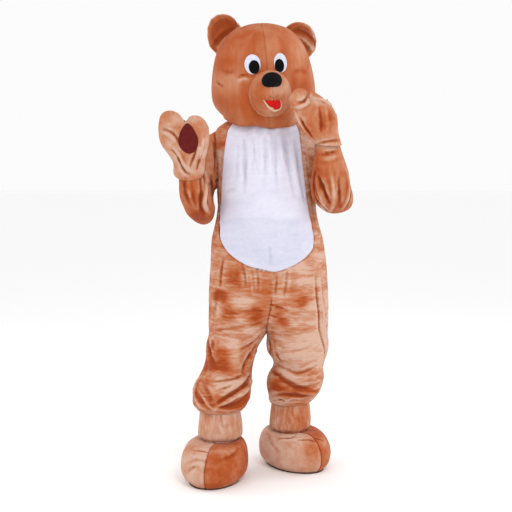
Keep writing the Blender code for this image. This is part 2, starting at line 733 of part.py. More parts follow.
def make_suit(parent):
    form = Form()
    rings = suit_body(form)
    for side in (RIGHT, LEFT):
        suit_sleeve(form, side, rings[side])
    form.finish()
    cut_piece("belly", form, "white_plush", parent)
    for side in SIDE_NAMES.values():
        for piece in ("front", "back", "sleeve"):
            cut_piece(f"{piece}_{side}", form, "tan_plush", parent)
    return form


# The head, in a frame of its own: its origin is under the middle, at the lower edge, and it faces -Y

HeadSection = namedtuple("HeadSection", "height half_width front back")
HEAD_SECTIONS = [
    HeadSection(0.424, 0.000, 0.000, 0.000),
    HeadSection(0.419, 0.050, 0.045, 0.048),
    HeadSection(0.404, 0.097, 0.085, 0.092),
    HeadSection(0.378, 0.135, 0.118, 0.130),
    HeadSection(0.340, 0.165, 0.145, 0.160),
    HeadSection(0.290, 0.186, 0.163, 0.180),
    HeadSection(0.230, 0.200, 0.172, 0.190),
    HeadSection(0.170, 0.207, 0.176, 0.190),
    HeadSection(0.110, 0.204, 0.173, 0.182),
    HeadSection(0.060, 0.190, 0.164, 0.168),
    HeadSection(0.025, 0.170, 0.150, 0.152),
    HeadSection(0.000, 0.145, 0.132, 0.134),
]
HEAD_TOP = HEAD_SECTIONS[0].height
HEAD_HEIGHTS = [0.419, 0.404, 0.378, 0.340, 0.290, 0.230, 0.170, 0.110, 0.060, 0.025, 0.000]
HEAD_COLUMNS = 24
HEAD_PLACE = Vector((-0.0035, 0.0, 1.384))
HEAD_YAW = math.radians(6)
HEAD_ROLL = math.radians(-3.7)
NECK_EDGE_RISE = 0.054
NECK_EDGE_REACH = 0.06
NECK_EDGE_CURVE = 1.5
REST_GAP = 0.0006
SETTLE_REACH = 0.08
EDGE_STEPS = 5

MUZZLE_ACROSS = 0.007
MUZZLE_HEIGHT = 0.137
MUZZLE_HALF_WIDTH = 0.084
MUZZLE_HALF_HEIGHT = 0.090
MUZZLE_REACH = 0.078
MUZZLE_ROOT = 0.010
# The muzzle's outside stands this far proud of its curve, and its root this far behind the head's surface
MUZZLE_LIFT = 0.001
MUZZLE_SINK = 0.002
MUZZLE_COLUMNS = 20
MUZZLE_RINGS = 6
ENVELOPE_DEPTH = 0.04

NOSE_HEIGHT = 0.185
NOSE_HALF_SIZES = (0.037, 0.017, 0.0285)
NOSE_MARGIN = 0.02
NOSE_CUT = 0.03

EYE_ACROSS = 0.0535
EYE_HEIGHT = 0.2525
EYE_HALF_SIZES = (0.031, 0.038)
PUPIL_ACROSS = 0.048
PUPIL_HEIGHT = 0.2415
PUPIL_HALF_SIZES = (0.0205, 0.0265)
EYE_COLUMNS = 20

# The lip runs under the mouth from its right corner to its left one; its inner edge is also the mouth's
LipRow = namedtuple("LipRow", "outer_across outer_height inner_across inner_height")
LIP_ROWS = [
    LipRow(-0.0273, 0.1142, -0.0240, 0.1134),
    LipRow(-0.0180, 0.0959, -0.0111, 0.0988),
    LipRow(-0.0051, 0.0813, 0.0058, 0.0877),
    LipRow(0.0120, 0.0727, 0.0192, 0.0816),
    LipRow(0.0327, 0.0789, 0.0287, 0.0843),
    LipRow(0.0357, 0.0909, 0.0321, 0.0960),
    LipRow(0.0322, 0.1092, 0.0296, 0.1107),
]
MOUTH_TOP = [(0.0209, 0.1090), (0.0158, 0.1108), (0.0071, 0.1088), (-0.0103, 0.1099)]
LIP_GAP = 0.0005
LIP_THICKNESS = 0.003
# How far round an outline the faces under a flat piece are taken, and the span of the prism that cuts it out
OUTLINE_MARGIN = 0.03
FRONT_SPAN = (-0.4, 0.0)
BACK_SPAN = (-0.1, 0.4)

# The rim of each ear, from its end at the top of the head round to its lower end
EarRim = namedtuple("EarRim", "share across height")
EAR_RIMS = {
    RIGHT: [
        EarRim(0.00, -0.085, 0.428),
        EarRim(0.12, -0.098, 0.452),
        EarRim(0.25, -0.121, 0.466),
        EarRim(0.38, -0.150, 0.470),
        EarRim(0.52, -0.184, 0.459),
        EarRim(0.65, -0.205, 0.425),
        EarRim(0.78, -0.210, 0.385),
        EarRim(0.90, -0.203, 0.342),
        EarRim(1.00, -0.180, 0.316),
    ],
    LEFT: [
        EarRim(0.00, 0.100, 0.398),
        EarRim(0.12, 0.118, 0.413),
        EarRim(0.25, 0.138, 0.422),
        EarRim(0.38, 0.165, 0.423),
        EarRim(0.52, 0.197, 0.412),
        EarRim(0.65, 0.220, 0.382),
        EarRim(0.78, 0.228, 0.345),
        EarRim(0.90, 0.220, 0.305),
        EarRim(1.00, 0.190, 0.275),
    ],
}
EAR_COLUMNS = 9
EAR_ROWS = 5
EAR_ROOT = 0.020
EAR_CUP = 0.030
EAR_BACKWARD = 0.004
EAR_FRONT_THICKNESS = 0.006
EAR_BACK_THICKNESS = 0.010
EAR_EDGE_THICKNESS = 0.0012
# How the cup starts at the root, and how round the cup and the padding are from end to end of the rim
CUP_START = 0.12
CUP_ROUNDNESS = 0.6
PADDING_ROUNDNESS = 0.4
PADDING_FULLNESS = 4


def head_place(turn, height):
    """A point of the head: a turn of 0 is its left side and -90 degrees its face. Its lower edge lies level."""
    row = smooth_table(HEAD_SECTIONS, height)
    depth = row.front if math.sin(turn) < 0 else row.back
    low = max(0.0, 1 - height / NECK_EDGE_REACH)
    across = row.half_width * math.cos(turn)
    lift = low * (NECK_EDGE_RISE * abs(math.cos(turn)) ** NECK_EDGE_CURVE + across * math.tan(HEAD_ROLL))
    return Vector((across, depth * math.sin(turn), height + lift))


def face_depth(across, height):
    """How far forward the face stands at a place."""
    row = smooth_table(HEAD_SECTIONS, height)
    return -row.front * math.sqrt(max(0.0, 1 - (across / row.half_width) ** 2))


def head_form():
    form = Form()
    top = form.point(Vector((0, 0, HEAD_TOP)))
    rows = [[top] * HEAD_COLUMNS]
    for height in HEAD_HEIGHTS:
        turns = [2 * math.pi * (k / HEAD_COLUMNS) - math.pi / 2 for k in range(HEAD_COLUMNS)]
        rows.append([form.point(head_place(turn, height)) for turn in turns])
    quarter = HEAD_COLUMNS // 4
    names = ["face_left", "head_back_left", "head_back_right", "face_right"]
    form.strip(rows, lambda i: names[i // quarter], closed=True)
    return form.finish()


def head_envelope(form, faces):
    """The head's outside near a piece sewn onto it, thick enough to cut off the root of the piece."""
    return wall_mesh("envelope", form, faces, -ENVELOPE_DEPTH, SEAM_GAP, sewn=False)


def muzzle_form():
    """The muzzle's outside, and the place of its root behind each point."""
    form, root = Form(), {}
    rows = []
    for ring in range(MUZZLE_RINGS + 1):
        swing = math.pi / 2 * ring / MUZZLE_RINGS
        row = []
        for k in range(1 if ring == 0 else MUZZLE_COLUMNS):
            turn = 2 * math.pi * k / MUZZLE_COLUMNS + math.pi / 2
            across = MUZZLE_ACROSS + MUZZLE_HALF_WIDTH * math.sin(swing) * math.cos(turn)
            height = MUZZLE_HEIGHT + MUZZLE_HALF_HEIGHT * math.sin(swing) * math.sin(turn)
            back = face_depth(across, height) + MUZZLE_ROOT
            reach = (MUZZLE_REACH + MUZZLE_ROOT) * math.cos(swing)
            v = form.point(Vector((across, back - reach - MUZZLE_LIFT, height)))
            root[v] = Vector((across, back + MUZZLE_SINK, height))
            row.append(v)
        rows.append(row * MUZZLE_COLUMNS if ring == 0 else row)
    half = MUZZLE_COLUMNS // 2
    form.strip(rows, lambda i: "muzzle_right" if i < half else "muzzle_left", closed=True)
    return form.finish(), root


def ear_form(side, toward, thickness):
    """One layer of an ear, on the ear's middle surface: toward is -1 for the front and 1 for the back."""
    form, middle = Form(), {}
    rim = EAR_RIMS[side]
    top, foot = rim[0], rim[-1]
    inward = Vector((-(foot.height - top.height), 0, foot.across - top.across)).normalized() * EAR_ROOT * -side
    rows = []
    for i in range(EAR_ROWS + 1):
        out = i / EAR_ROWS
        row = []
        for k in range(EAR_COLUMNS + 1):
            share = k / EAR_COLUMNS
            edge = smooth_table(rim, share)
            root = Vector((between(top.across, foot.across, share), 0, between(top.height, foot.height, share)))
            place = (root + inward).lerp(Vector((edge.across, 0, edge.height)), out)
            round_it = math.sin(math.pi * share)
            cup = math.sin(math.pi * between(CUP_START, 1.0, out))
            place.y = EAR_BACKWARD + EAR_CUP * cup * round_it**CUP_ROUNDNESS
            plump = math.sqrt(max(0.0, 1 - out**PADDING_FULLNESS)) * round_it**PADDING_ROUNDNESS
            depth = SEAM_GAP / 2 + EAR_EDGE_THICKNESS + thickness * plump
            v = form.point(place + Vector((0, toward * depth, 0)))
            middle[v] = place + Vector((0, toward * SEAM_GAP / 2, 0))
            row.append(v)
        rows.append(row)
    layer = "front" if toward < 0 else "back"
    form.strip(rows, f"ear_{layer}_{SIDE_NAMES[side]}", flip=(side == LEFT) != (toward > 0))
    return form.finish(), middle


def make_ears(head, parent):
    for side in (RIGHT, LEFT):
        for layer, toward, thickness in (("front", -1, EAR_FRONT_THICKNESS), ("back", 1, EAR_BACK_THICKNESS)):
            name = f"ear_{layer}_{SIDE_NAMES[side]}"
            form, middle = ear_form(side, toward, thickness)
            solid = wall_mesh(name, form, form.faces_of(name), 0, 0, sewn=False, inner_of=middle)
            near = [f for f in head.mesh.faces if side * f.calc_center_median().x > 0]
            add_piece(name, combined(name, solid, head_envelope(head, near), "DIFFERENCE"), "tan_plush", parent)


def on_face(name, form, pieces, outline, low, high, finish, parent, toward=-1):
    """A flat piece sewn onto others: it has their shape, moved out, inside its own outline."""
    cloth = wall_mesh(name, form, facing_faces(form, pieces, outline, OUTLINE_MARGIN, toward), low, high, sewn=False)
    add_piece(name, combined(name, cloth, prism_mesh("outline", outline, *FRONT_SPAN), "INTERSECT"), finish, parent)


def make_head(parent):
    form = head_form()
    gores = ["face_right", "face_left", "head_back_right", "head_back_left"]
    for name in gores:
        cut_piece(name, form, "tan_plush", parent, FOAM_BACKED)
    muzzle, root = muzzle_form()
    halves = ["muzzle_right", "muzzle_left"]
    front = [f for f in form.mesh.faces if f.calc_center_median().y < 0]
    for name in halves:
        solid = wall_mesh(name, muzzle, muzzle.faces_of(name), 0, 0, inner_of=root)
        add_piece(name, combined(name, solid, head_envelope(form, front), "DIFFERENCE"), "tan_plush", parent)
    make_ears(form, parent)

    covered = muzzle_place(MUZZLE_ACROSS, NOSE_HEIGHT)
    ball = ellipsoid_mesh("ball", covered, NOSE_HALF_SIZES, 20, 12)
    surround = oval(MUZZLE_ACROSS, NOSE_HEIGHT, NOSE_HALF_SIZES[0], NOSE_HALF_SIZES[2], 8)
    over = wall_mesh("over", muzzle, facing_faces(muzzle, halves, surround, NOSE_MARGIN), SEAM_GAP, NOSE_CUT, sewn=False)
    add_piece("nose", combined("nose", ball, over, "INTERSECT"), "black_plush", parent)

    lip_outer = [(row.outer_across, row.outer_height) for row in LIP_ROWS]
    edge = [(row.inner_across, row.inner_height) for row in LIP_ROWS]
    lip_inner = []
    for (x, z), (outer_x, outer_z) in zip(edge, lip_outer):
        apart = math.hypot(outer_x - x, outer_z - z)
        lip_inner.append((between(x, outer_x, LIP_GAP / apart), between(z, outer_z, LIP_GAP / apart)))
    on_face("mouth", muzzle, halves, edge + MOUTH_TOP, SEAM_GAP, SEAM_GAP + FELT, "red_felt", parent)
    lip = lip_outer + lip_inner[::-1]
    on_face("lip", muzzle, halves, lip, SEAM_GAP, SEAM_GAP + LIP_THICKNESS, "cream_felt", parent)

    for side, name in SIDE_NAMES.items():
        white = oval(side * EYE_ACROSS, EYE_HEIGHT, *EYE_HALF_SIZES, EYE_COLUMNS)
        pupil = oval(side * PUPIL_ACROSS, PUPIL_HEIGHT, *PUPIL_HALF_SIZES, EYE_COLUMNS)
        top = SEAM_GAP + FELT
        on_face(f"eye_white_{name}", form, gores, white, SEAM_GAP, top, "white_felt", parent)
        on_face(f"pupil_{name}", form, gores, pupil, top + SEAM_GAP, top + SEAM_GAP + FELT, "black_plush", parent)
    return form


def muzzle_place(across, height):
    """A point of the muzzle's outside."""
    x = (across - MUZZLE_ACROSS) / MUZZLE_HALF_WIDTH
    z = (height - MUZZLE_HEIGHT) / MUZZLE_HALF_HEIGHT
    reach = (MUZZLE_REACH + MUZZLE_ROOT) * math.sqrt(max(0.0, 1 - x * x - z * z))
    return Vector((across, face_depth(across, height) + MUZZLE_ROOT - reach, height))


def along_edges(form, inwards):
    """Places along every edge of a form, moved inwards by a distance."""
    places = []
    for edge in form.mesh.edges:
        start, end = (v.co - v.normal * inwards for v in edge.verts)
        places += [start.lerp(end, i / EDGE_STEPS) for i in range(EDGE_STEPS)]
    return places


def settle(head, form, suit):
    """Puts the head down on the suit's shoulders."""
    bpy.context.view_layer.update()
    placing = head.matrix_local
    shoulders = suit.tree()
    drops = []
    for inwards in (0.0, FOAM_BACKED):
        for place in along_edges(form, inwards):
            start = placing @ place
            hit = shoulders.ray_cast(start + Vector((0, 0, SETTLE_REACH)), Vector((0, 0, -1)))[0]
            if hit and start.z < HEAD_PLACE.z + SETTLE_REACH:
                drops.append(start.z - hit.z)
    faces = [[v.index for v in f.verts] for f in form.mesh.faces if f.calc_center_median().z < SETTLE_REACH]
    for inwards in (0.0, FOAM_BACKED):
        wall = BVHTree.FromPolygons([placing @ (v.co - v.normal * inwards) for v in form.mesh.verts], faces)
        for place in along_edges(suit, 0.0):
            hit = wall.ray_cast(place - Vector((0, 0, SETTLE_REACH)), Vector((0, 0, 1)), 2 * SETTLE_REACH)[0]
            if hit:
                drops.append(hit.z - place.z)
    head.location.z += REST_GAP - min(drops)


# The mitts: sections across the hand, in the order of cuff to tips. lean turns a section in the plane of the
# palm, and pitch tips its front down; above the knuckles the mitt divides into fingers and thumb

HandSection = namedtuple("HandSection", "x y z half_wide half_thick lean pitch")
HAND_SECTIONS = {
    RIGHT: [
        HandSection(-0.300, -0.205, 1.232, 0.060, 0.056, 0, 48),
        HandSection(-0.298, -0.222, 1.262, 0.061, 0.052, 0, 36),
        HandSection(-0.300, -0.242, 1.292, 0.070, 0.047, -4, 22),
        HandSection(-0.306, -0.254, 1.325, 0.086, 0.043, -6, 12),
        HandSection(-0.313, -0.260, 1.358, 0.095, 0.039, -4, 6),
        HandSection(-0.3155, -0.264, 1.392, 0.0955, 0.034, 0, 2),
    ],
    LEFT: [
        HandSection(0.228, -0.232, 1.332, 0.054, 0.052, 4, 12),
        HandSection(0.214, -0.250, 1.362, 0.055, 0.046, -14, 8),
        HandSection(0.202, -0.262, 1.392, 0.065, 0.041, -22, 4),
        HandSection(0.188, -0.270, 1.420, 0.072, 0.037, -26, 0),
        HandSection(0.169, -0.275, 1.447, 0.072, 0.034, -26, 0),
        HandSection(0.158, -0.278, 1.468, 0.068, 0.031, -22, 0),
    ],
}
# The lobe on the wearer's right of each mitt, then the lobe on the left
LOBE_SECTIONS = {
    RIGHT: (
        [
            HandSection(-0.3610, -0.266, 1.4200, 0.046, 0.029, -6, 0),
            HandSection(-0.3670, -0.266, 1.4370, 0.036, 0.023, -10, 0),
            HandSection(-0.3740, -0.265, 1.4480, 0.021, 0.014, -14, 0),
            HandSection(-0.3790, -0.265, 1.4520, 0.0, 0.0, 0, 0),
        ],
        [
            HandSection(-0.2680, -0.265, 1.4150, 0.037, 0.028, 6, 0),
            HandSection(-0.2690, -0.266, 1.4260, 0.029, 0.022, 6, 0),
            HandSection(-0.2700, -0.267, 1.4330, 0.017, 0.013, 4, 0),
            HandSection(-0.2700, -0.267, 1.4355, 0.0, 0.0, 0, 0),
        ],
    ),
    LEFT: (
        [
            HandSection(0.116, -0.282, 1.494, 0.037, 0.027, -16, 0),
            HandSection(0.117, -0.284, 1.514, 0.033, 0.023, -12, 0),
            HandSection(0.120, -0.284, 1.530, 0.020, 0.014, -6, 0),
            HandSection(0.123, -0.284, 1.536, 0.0, 0.0, 0, 0),
        ],
        [
            HandSection(0.189, -0.279, 1.492, 0.040, 0.028, 20, 0),
            HandSection(0.183, -0.280, 1.506, 0.033, 0.022, 24, 0),
            HandSection(0.177, -0.281, 1.517, 0.020, 0.014, 26, 0),
            HandSection(0.173, -0.281, 1.521, 0.0, 0.0, 0, 0),
        ],
    ),
}
CROTCH_OF_THUMB = {RIGHT: Vector((-0.3110, -0.265, 1.4100)), LEFT: Vector((0.152, -0.281, 1.492))}
HAND_COLUMNS = 16
# The section of a mitt, between an ellipse at 2 and a box
HAND_SQUARENESS = 2.4
# The pad on each palm: its outline about its own middle, and where that lies. toward is -1 where the palm faces
# the front, and 1 where it faces the wearer
PAD_OUTLINE = [
    (-0.0040, 0.0555), (-0.0240, 0.0345), (-0.0360, -0.0005), (-0.0330, -0.0265), (-0.0160, -0.0475),
    (0.0060, -0.0555), (0.0270, -0.0425), (0.0360, -0.0195), (0.0340, 0.0075), (0.0150, 0.0435),
]
PadPlace = namedtuple("PadPlace", "across height lean toward")
PAD_PLACES = {RIGHT: PadPlace(-0.296, 1.3485, 0, -1), LEFT: PadPlace(0.194, 1.406, 22, 1)}


def hand_ring(form, section, turns):
    """Points round a section of a mitt: a turn of 0 is the wearer's left, and 90 the front."""
    lean, pitch = math.radians(section.lean), math.radians(section.pitch)
    wide = Vector((math.cos(lean), 0, -math.sin(lean)))
    thick = Vector((0, -math.cos(pitch), -math.sin(pitch)))
    centre = Vector((section.x, section.y, section.z))
    ring = []
    for turn in turns:
        across, ahead = math.cos(turn), math.sin(turn)
        powers = abs(across) ** HAND_SQUARENESS + abs(ahead) ** HAND_SQUARENESS
        rounder = powers ** (-1 / HAND_SQUARENESS)
        place = centre + (wide * section.half_wide * across + thick * section.half_thick * ahead) * rounder
        ring.append(form.point(place))
    return ring


def make_mitt(side, parent):
    form = Form()
    name = SIDE_NAMES[side]
    front, back = ("palm", "mitt_back") if side == RIGHT else ("mitt_back", "palm")
    step = 2 * math.pi / HAND_COLUMNS
    rows = [hand_ring(form, row, [k * step for k in range(HAND_COLUMNS)]) for row in HAND_SECTIONS[side]]
    half = HAND_COLUMNS // 2
    form.strip(rows[::-1], lambda i: f"{front if i < half else back}_{name}", closed=True, flip=True)
    crotch = form.point(CROTCH_OF_THUMB[side])
    top = rows[-1]
    quarter = HAND_COLUMNS // 4
    starts = (quarter, 3 * quarter)
    for lobe, start in zip(LOBE_SECTIONS[side], starts):
        ring = [top[(start + k) % HAND_COLUMNS] for k in range(half + 1)] + [crotch]
        front_first = start == quarter
        turns = [start * step + k * step for k in range(half + 1)]
        turns.append(turns[-1] + math.pi / 2)
        lobe_rows = [ring]
        for section in lobe[:-1]:
            lobe_rows.append(hand_ring(form, section, turns))
        tip = form.point(Vector(lobe[-1][:3]))
        lobe_rows.append([tip] * len(ring))

        def piece_at(i):
            in_first = i < quarter or i == half + 1
            return f"{front if in_first == front_first else back}_{name}"

        form.strip(lobe_rows[::-1], piece_at, closed=True, flip=True)
    form.finish()
    for piece in (f"palm_{name}", f"mitt_back_{name}"):
        cut_piece(piece, form, "tan_plush", parent)
    return form


def make_pads(mitts, parent):
    """The pad sewn on each palm: the right one faces forward and the left one faces the wearer."""
    for side, pad in PAD_PLACES.items():
        turned = Matrix.Rotation(math.radians(pad.lean), 2)
        places = [turned @ Vector(point) for point in PAD_OUTLINE]
        outline = [(pad.across + p.x, pad.height + p.y) for p in places]
        name = f"paw_pad_{SIDE_NAMES[side]}"
        palm = [f"palm_{SIDE_NAMES[side]}"]
        high = SEAM_GAP + FELT
        on_face(name, mitts[side], palm, outline, SEAM_GAP, high, "maroon_felt", parent, pad.toward)


# The boots. Across and forward are measured in the boot's own frame, which its yaw turns

BootSection = namedtuple("BootSection", "height half_length half_width setback")
BOOT_SECTIONS = [
    BootSection(0.152, 0.094, 0.090, 0.80),
    BootSection(0.150, 0.116, 0.103, 0.58),
    BootSection(0.136, 0.140, 0.117, 0.34),
    BootSection(0.108, 0.160, 0.128, 0.16),
    BootSection(0.072, 0.170, 0.132, 0.05),
    BootSection(0.034, 0.166, 0.125, 0.00),
    BootSection(0.00615, 0.146, 0.100, 0.00),
]
SOLE_THICKNESS = 0.006
BootPlace = namedtuple("BootPlace", "x y yaw ankle_x ankle_y cuff_scale")
BOOT_PLACES = {
    RIGHT: BootPlace(-0.208, -0.155, -12, -0.188, -0.100, 1.0),
    LEFT: BootPlace(0.118, 0.034, 38, 0.098, 0.040, 0.955),
}
CuffSection = namedtuple("CuffSection", "height radius gathers")
CUFF_SECTIONS = [
    CuffSection(0.294, 0.0780, 0.0012),
    CuffSection(0.266, 0.0815, 0.0016),
    CuffSection(0.226, 0.0860, 0.0016),
    CuffSection(0.186, 0.0895, 0.0012),
    CuffSection(0.164, 0.0860, 0.0008),
    CuffSection(0.1515, 0.0745, 0.0004),
]
BOOT_COLUMNS = 24


def make_boot(side, parent):
    form = Form()
    name = SIDE_NAMES[side]
    place = BOOT_PLACES[side]
    turn_to = Matrix.Rotation(math.radians(place.yaw), 3, "Z")
    ankle = Vector((place.ankle_x, place.ankle_y, 0))
    middle = Vector((place.x, place.y, 0))
    turns = [2 * math.pi * k / BOOT_COLUMNS - math.pi / 2 for k in range(BOOT_COLUMNS)]
    rows = []
    for section in CUFF_SECTIONS:
        row = []
        for k, turn in enumerate(turns):
            radius = section.radius * place.cuff_scale + section.gathers * (-1) ** k
            spread = turn_to @ Vector((radius * math.cos(turn), radius * math.sin(turn), 0))
            row.append(form.point(ankle + spread + Vector((0, 0, section.height))))
        rows.append(row)
    form.strip(rows, f"ankle_cuff_{name}", closed=True)
    upper = [rows[-1]]
    for section in BOOT_SECTIONS:
        centre = middle.lerp(ankle, section.setback)
        row = []
        for turn in turns:
            spread = Vector((section.half_width * math.cos(turn), section.half_length * math.sin(turn), 0))
            row.append(form.point(centre + turn_to @ spread + Vector((0, 0, section.height))))
        upper.append(row)
    half = BOOT_COLUMNS // 2
    outer, inner = ("boot_inner", "boot_outer") if side == RIGHT else ("boot_outer", "boot_inner")
    form.strip(upper, lambda i: f"{outer if i < half else inner}_{name}", closed=True)
    form.finish()
    cut_piece(f"ankle_cuff_{name}", form, "tan_plush", parent)
    for piece in (f"boot_inner_{name}", f"boot_outer_{name}"):
        cut_piece(piece, form, "tan_plush", parent, BOOT_CLOTH)
    count = BOOT_COLUMNS
    outline = [v.co.copy() for v in upper[-1]]
    points = [(p.x, p.y, SOLE_THICKNESS) for p in outline] + [(p.x, p.y, 0) for p in outline]
    polygons = [list(range(count)), [i + count for i in reversed(range(count))]]
    polygons += [[(i + 1) % count, i, i + count, (i + 1) % count + count] for i in range(count)]
    sole = bpy.data.meshes.new(f"boot_sole_{name}")
    sole.from_pydata(points, [], polygons)
    add_piece(f"boot_sole_{name}", sole, "boot_sole", parent)


# The zip behind the slot in the centre-back seam

ZIP_TAPE = 0.0015
ZIP_HALF_WIDTH = 0.014
ZIP_TOP = 1.445
ZIP_BEHIND = 0.0009
ZIP_TAIL = 0.08


def make_zip(suit, parent):
    high = -(PLUSH + ZIP_BEHIND)
    faces = [
        f
        for f in suit.faces_of("back_right") + suit.faces_of("back_left")
        if any(abs(v.co.x) < 1e-6 and ZIP_FOOT - ZIP_TAIL < v.co.z for v in f.verts)
    ]
    outline = [
        (-ZIP_HALF_WIDTH, ZIP_FOOT), (ZIP_HALF_WIDTH, ZIP_FOOT), (ZIP_HALF_WIDTH, ZIP_TOP), (-ZIP_HALF_WIDTH, ZIP_TOP)
    ]
    cloth = wall_mesh("zip", suit, faces, high - ZIP_TAPE, high, sewn=False)
    add_piece("zip", combined("zip", cloth, prism_mesh("outline", outline, *BACK_SPAN), "INTERSECT"), "zip_tape", parent)


def clear_scene():
    for old in list(bpy.data.objects):
        bpy.data.objects.remove(old)
    collection = bpy.data.collections.new(COLLECTION_NAME)
    bpy.context.scene.collection.children.link(collection)


def main():
    clear_scene()
    floor = empty("floor_under_boots", location=(0, 0, -SHOULDER_HEIGHT))
    suit = make_suit(floor)
    make_zip(suit, floor)
    head = empty("head_placing", floor, HEAD_PLACE, (0, HEAD_ROLL, HEAD_YAW))
    settle(head, make_head(head), suit)
    make_pads({side: make_mitt(side, floor) for side in (RIGHT, LEFT)}, floor)
    for side in (RIGHT, LEFT):
        make_boot(side, floor)


main()
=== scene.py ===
# %% [markdown]
# # A bear mascot costume, filled out as it is worn
#
# The costume is a hollow padded head, a one-piece suit with a white belly, two mitts and two boots,
# all cut from plush: a knitted cloth with a short pile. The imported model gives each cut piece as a
# plain thin wall. Here every wall gets its smooth form, its creases, its seams and its nap. All sizes
# are in metres, +Z is up, the costume faces -Y, and the origin is between the wearer's shoulders.

import math
from collections import namedtuple

import bmesh
import bpy
import numpy as np
from mathutils import Euler, Matrix, Vector, noise
from mathutils.bvhtree import BVHTree
from mathutils.kdtree import KDTree


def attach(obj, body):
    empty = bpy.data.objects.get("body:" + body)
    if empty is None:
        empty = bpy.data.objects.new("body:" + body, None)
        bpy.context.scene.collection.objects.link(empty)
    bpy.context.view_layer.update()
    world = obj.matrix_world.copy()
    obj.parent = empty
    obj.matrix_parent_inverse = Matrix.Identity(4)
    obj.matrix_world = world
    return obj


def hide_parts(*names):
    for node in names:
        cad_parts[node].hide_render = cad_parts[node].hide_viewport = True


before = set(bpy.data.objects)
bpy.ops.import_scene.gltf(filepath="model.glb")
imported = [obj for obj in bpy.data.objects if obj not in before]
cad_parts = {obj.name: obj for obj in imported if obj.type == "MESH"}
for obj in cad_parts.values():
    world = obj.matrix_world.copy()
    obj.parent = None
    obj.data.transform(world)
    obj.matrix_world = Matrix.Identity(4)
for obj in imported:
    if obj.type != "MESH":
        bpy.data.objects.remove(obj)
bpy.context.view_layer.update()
FLOOR_HEIGHT = -1.400

# %% [markdown]
# ## Camera, light and floor
#
# The camera stands where the photographer did: about 4.2 m away at chest height, looking slightly
# down, with a lens a little longer than a portrait one. A large soft light from the front and a pale
# studio leave few shadows, as a catalogue picture has. A low light from each side grazes the pile and
# shows the edges of its folds.

# %% Set up the camera and studio
CAMERA_PLACE = (-0.043, -4.2, -0.100)
CAMERA_TILT = math.radians(90 - 5.73)
LENS_MM = 73.1

camera_data = bpy.data.cameras.new("camera")
camera_data.lens = LENS_MM
camera_data.sensor_width = 36
camera_data.clip_end = 60
camera = bpy.data.objects.new("camera", camera_data)
camera.location = CAMERA_PLACE
camera.rotation_euler = (CAMERA_TILT, 0, 0)
bpy.context.scene.collection.objects.link(camera)
bpy.context.scene.camera = camera
bpy.context.scene.view_settings.view_transform = "Standard"

StudioLight = namedtuple("StudioLight", "name place aim size watts")
STUDIO_LIGHTS = [
    StudioLight("key", (1.2, -3.4, 2.2), (0, 0, -0.3), 1.2, 46),
    StudioLight("fill", (-2.4, -3.2, 0.6), (0, 0, -0.5), 2.4, 6),
    StudioLight("left_edge", (-3.0, 0.6, 0.6), (0, 0, -0.4), 1.2, 16),
    StudioLight("right_edge", (3.0, 0.8, 0.4), (0, 0, -0.5), 1.2, 20),
]
for studio_light in STUDIO_LIGHTS:
    light_data = bpy.data.lights.new(studio_light.name, "AREA")
    light_data.energy = studio_light.watts
    light_data.size = studio_light.size
    light = bpy.data.objects.new(studio_light.name, light_data)
    light.location = studio_light.place
    toward = Vector(studio_light.aim) - light.location
    light.rotation_euler = toward.to_track_quat("-Z", "Y").to_euler()
    bpy.context.scene.collection.objects.link(light)

studio = bpy.data.worlds.new("studio")
studio.use_nodes = True
studio.node_tree.nodes["Background"].inputs["Color"].default_value = (1.0, 1.0, 1.0, 1)
studio.node_tree.nodes["Background"].inputs["Strength"].default_value = 0.97
bpy.context.scene.world = studio

bpy.ops.object.select_all(action="DESELECT")
bpy.ops.mesh.primitive_plane_add(size=60, location=(0, 0, FLOOR_HEIGHT))
floor = bpy.context.object
floor.name = "studio_floor"
floor_finish = bpy.data.materials.new("pale_floor")
floor_finish.use_nodes = True
floor_finish.node_tree.nodes["Principled BSDF"].inputs["Base Color"].default_value = (0.97, 0.97, 0.97, 1)
floor_finish.node_tree.nodes["Principled BSDF"].inputs["Roughness"].default_value = 0.8
floor.data.materials.append(floor_finish)
print("studio ready:", len(STUDIO_LIGHTS), "lights")

# %% [markdown]
# ## The finishes
#
# Plush shows two colours. Where the pile lies away from the light it is a deep orange-brown, and
# where it is brushed the other way it turns a pale pinkish tan. The change follows which way each
# panel was cut and streaks that hands and wear have brushed into it. The light and shade of the
# folds are painted in as well: ridges paler as a painted highlight, hollows darker as painted shade.
# So each cloth piece carries two values at its points, "nap" for how pale it is brushed, with some
# painted relief light and shade added, and "fold" for how far it stands out or sinks in, and one node
# group turns them into a mask of brushed pile and painted fold light and shade. A second group gives
# the fine grain of the pile. Both are built once and used by every plush material with its own values.


# %% Build the shared node groups
def new_group(name, takes, gives):
    """A shader node group with named inputs and outputs."""
    group = bpy.data.node_groups.new(name, "ShaderNodeTree")
    for socket_name, kind, value in takes:
        socket = group.interface.new_socket(name=socket_name, in_out="INPUT", socket_type=kind)
        if value is not None:
            socket.default_value = value
    for socket_name, kind in gives:
        group.interface.new_socket(name=socket_name, in_out="OUTPUT", socket_type=kind)
    return group


def add_node(tree, kind, place, **settings):
    node = tree.nodes.new(kind)
    node.location = place
    for key, value in settings.items():
        setattr(node, key, value)
    return node


def calculate(tree, place, operation, first, second=None, clamp=False):
    """A Math node on two sockets or numbers. It returns its output."""
    node = add_node(tree, "ShaderNodeMath", place, operation=operation, use_clamp=clamp)
    for socket, value in zip(node.inputs, (first, second)):
        if isinstance(value, (int, float)):
            socket.default_value = value
        elif value is not None:
            tree.links.new(value, socket)
    return node.outputs[0]


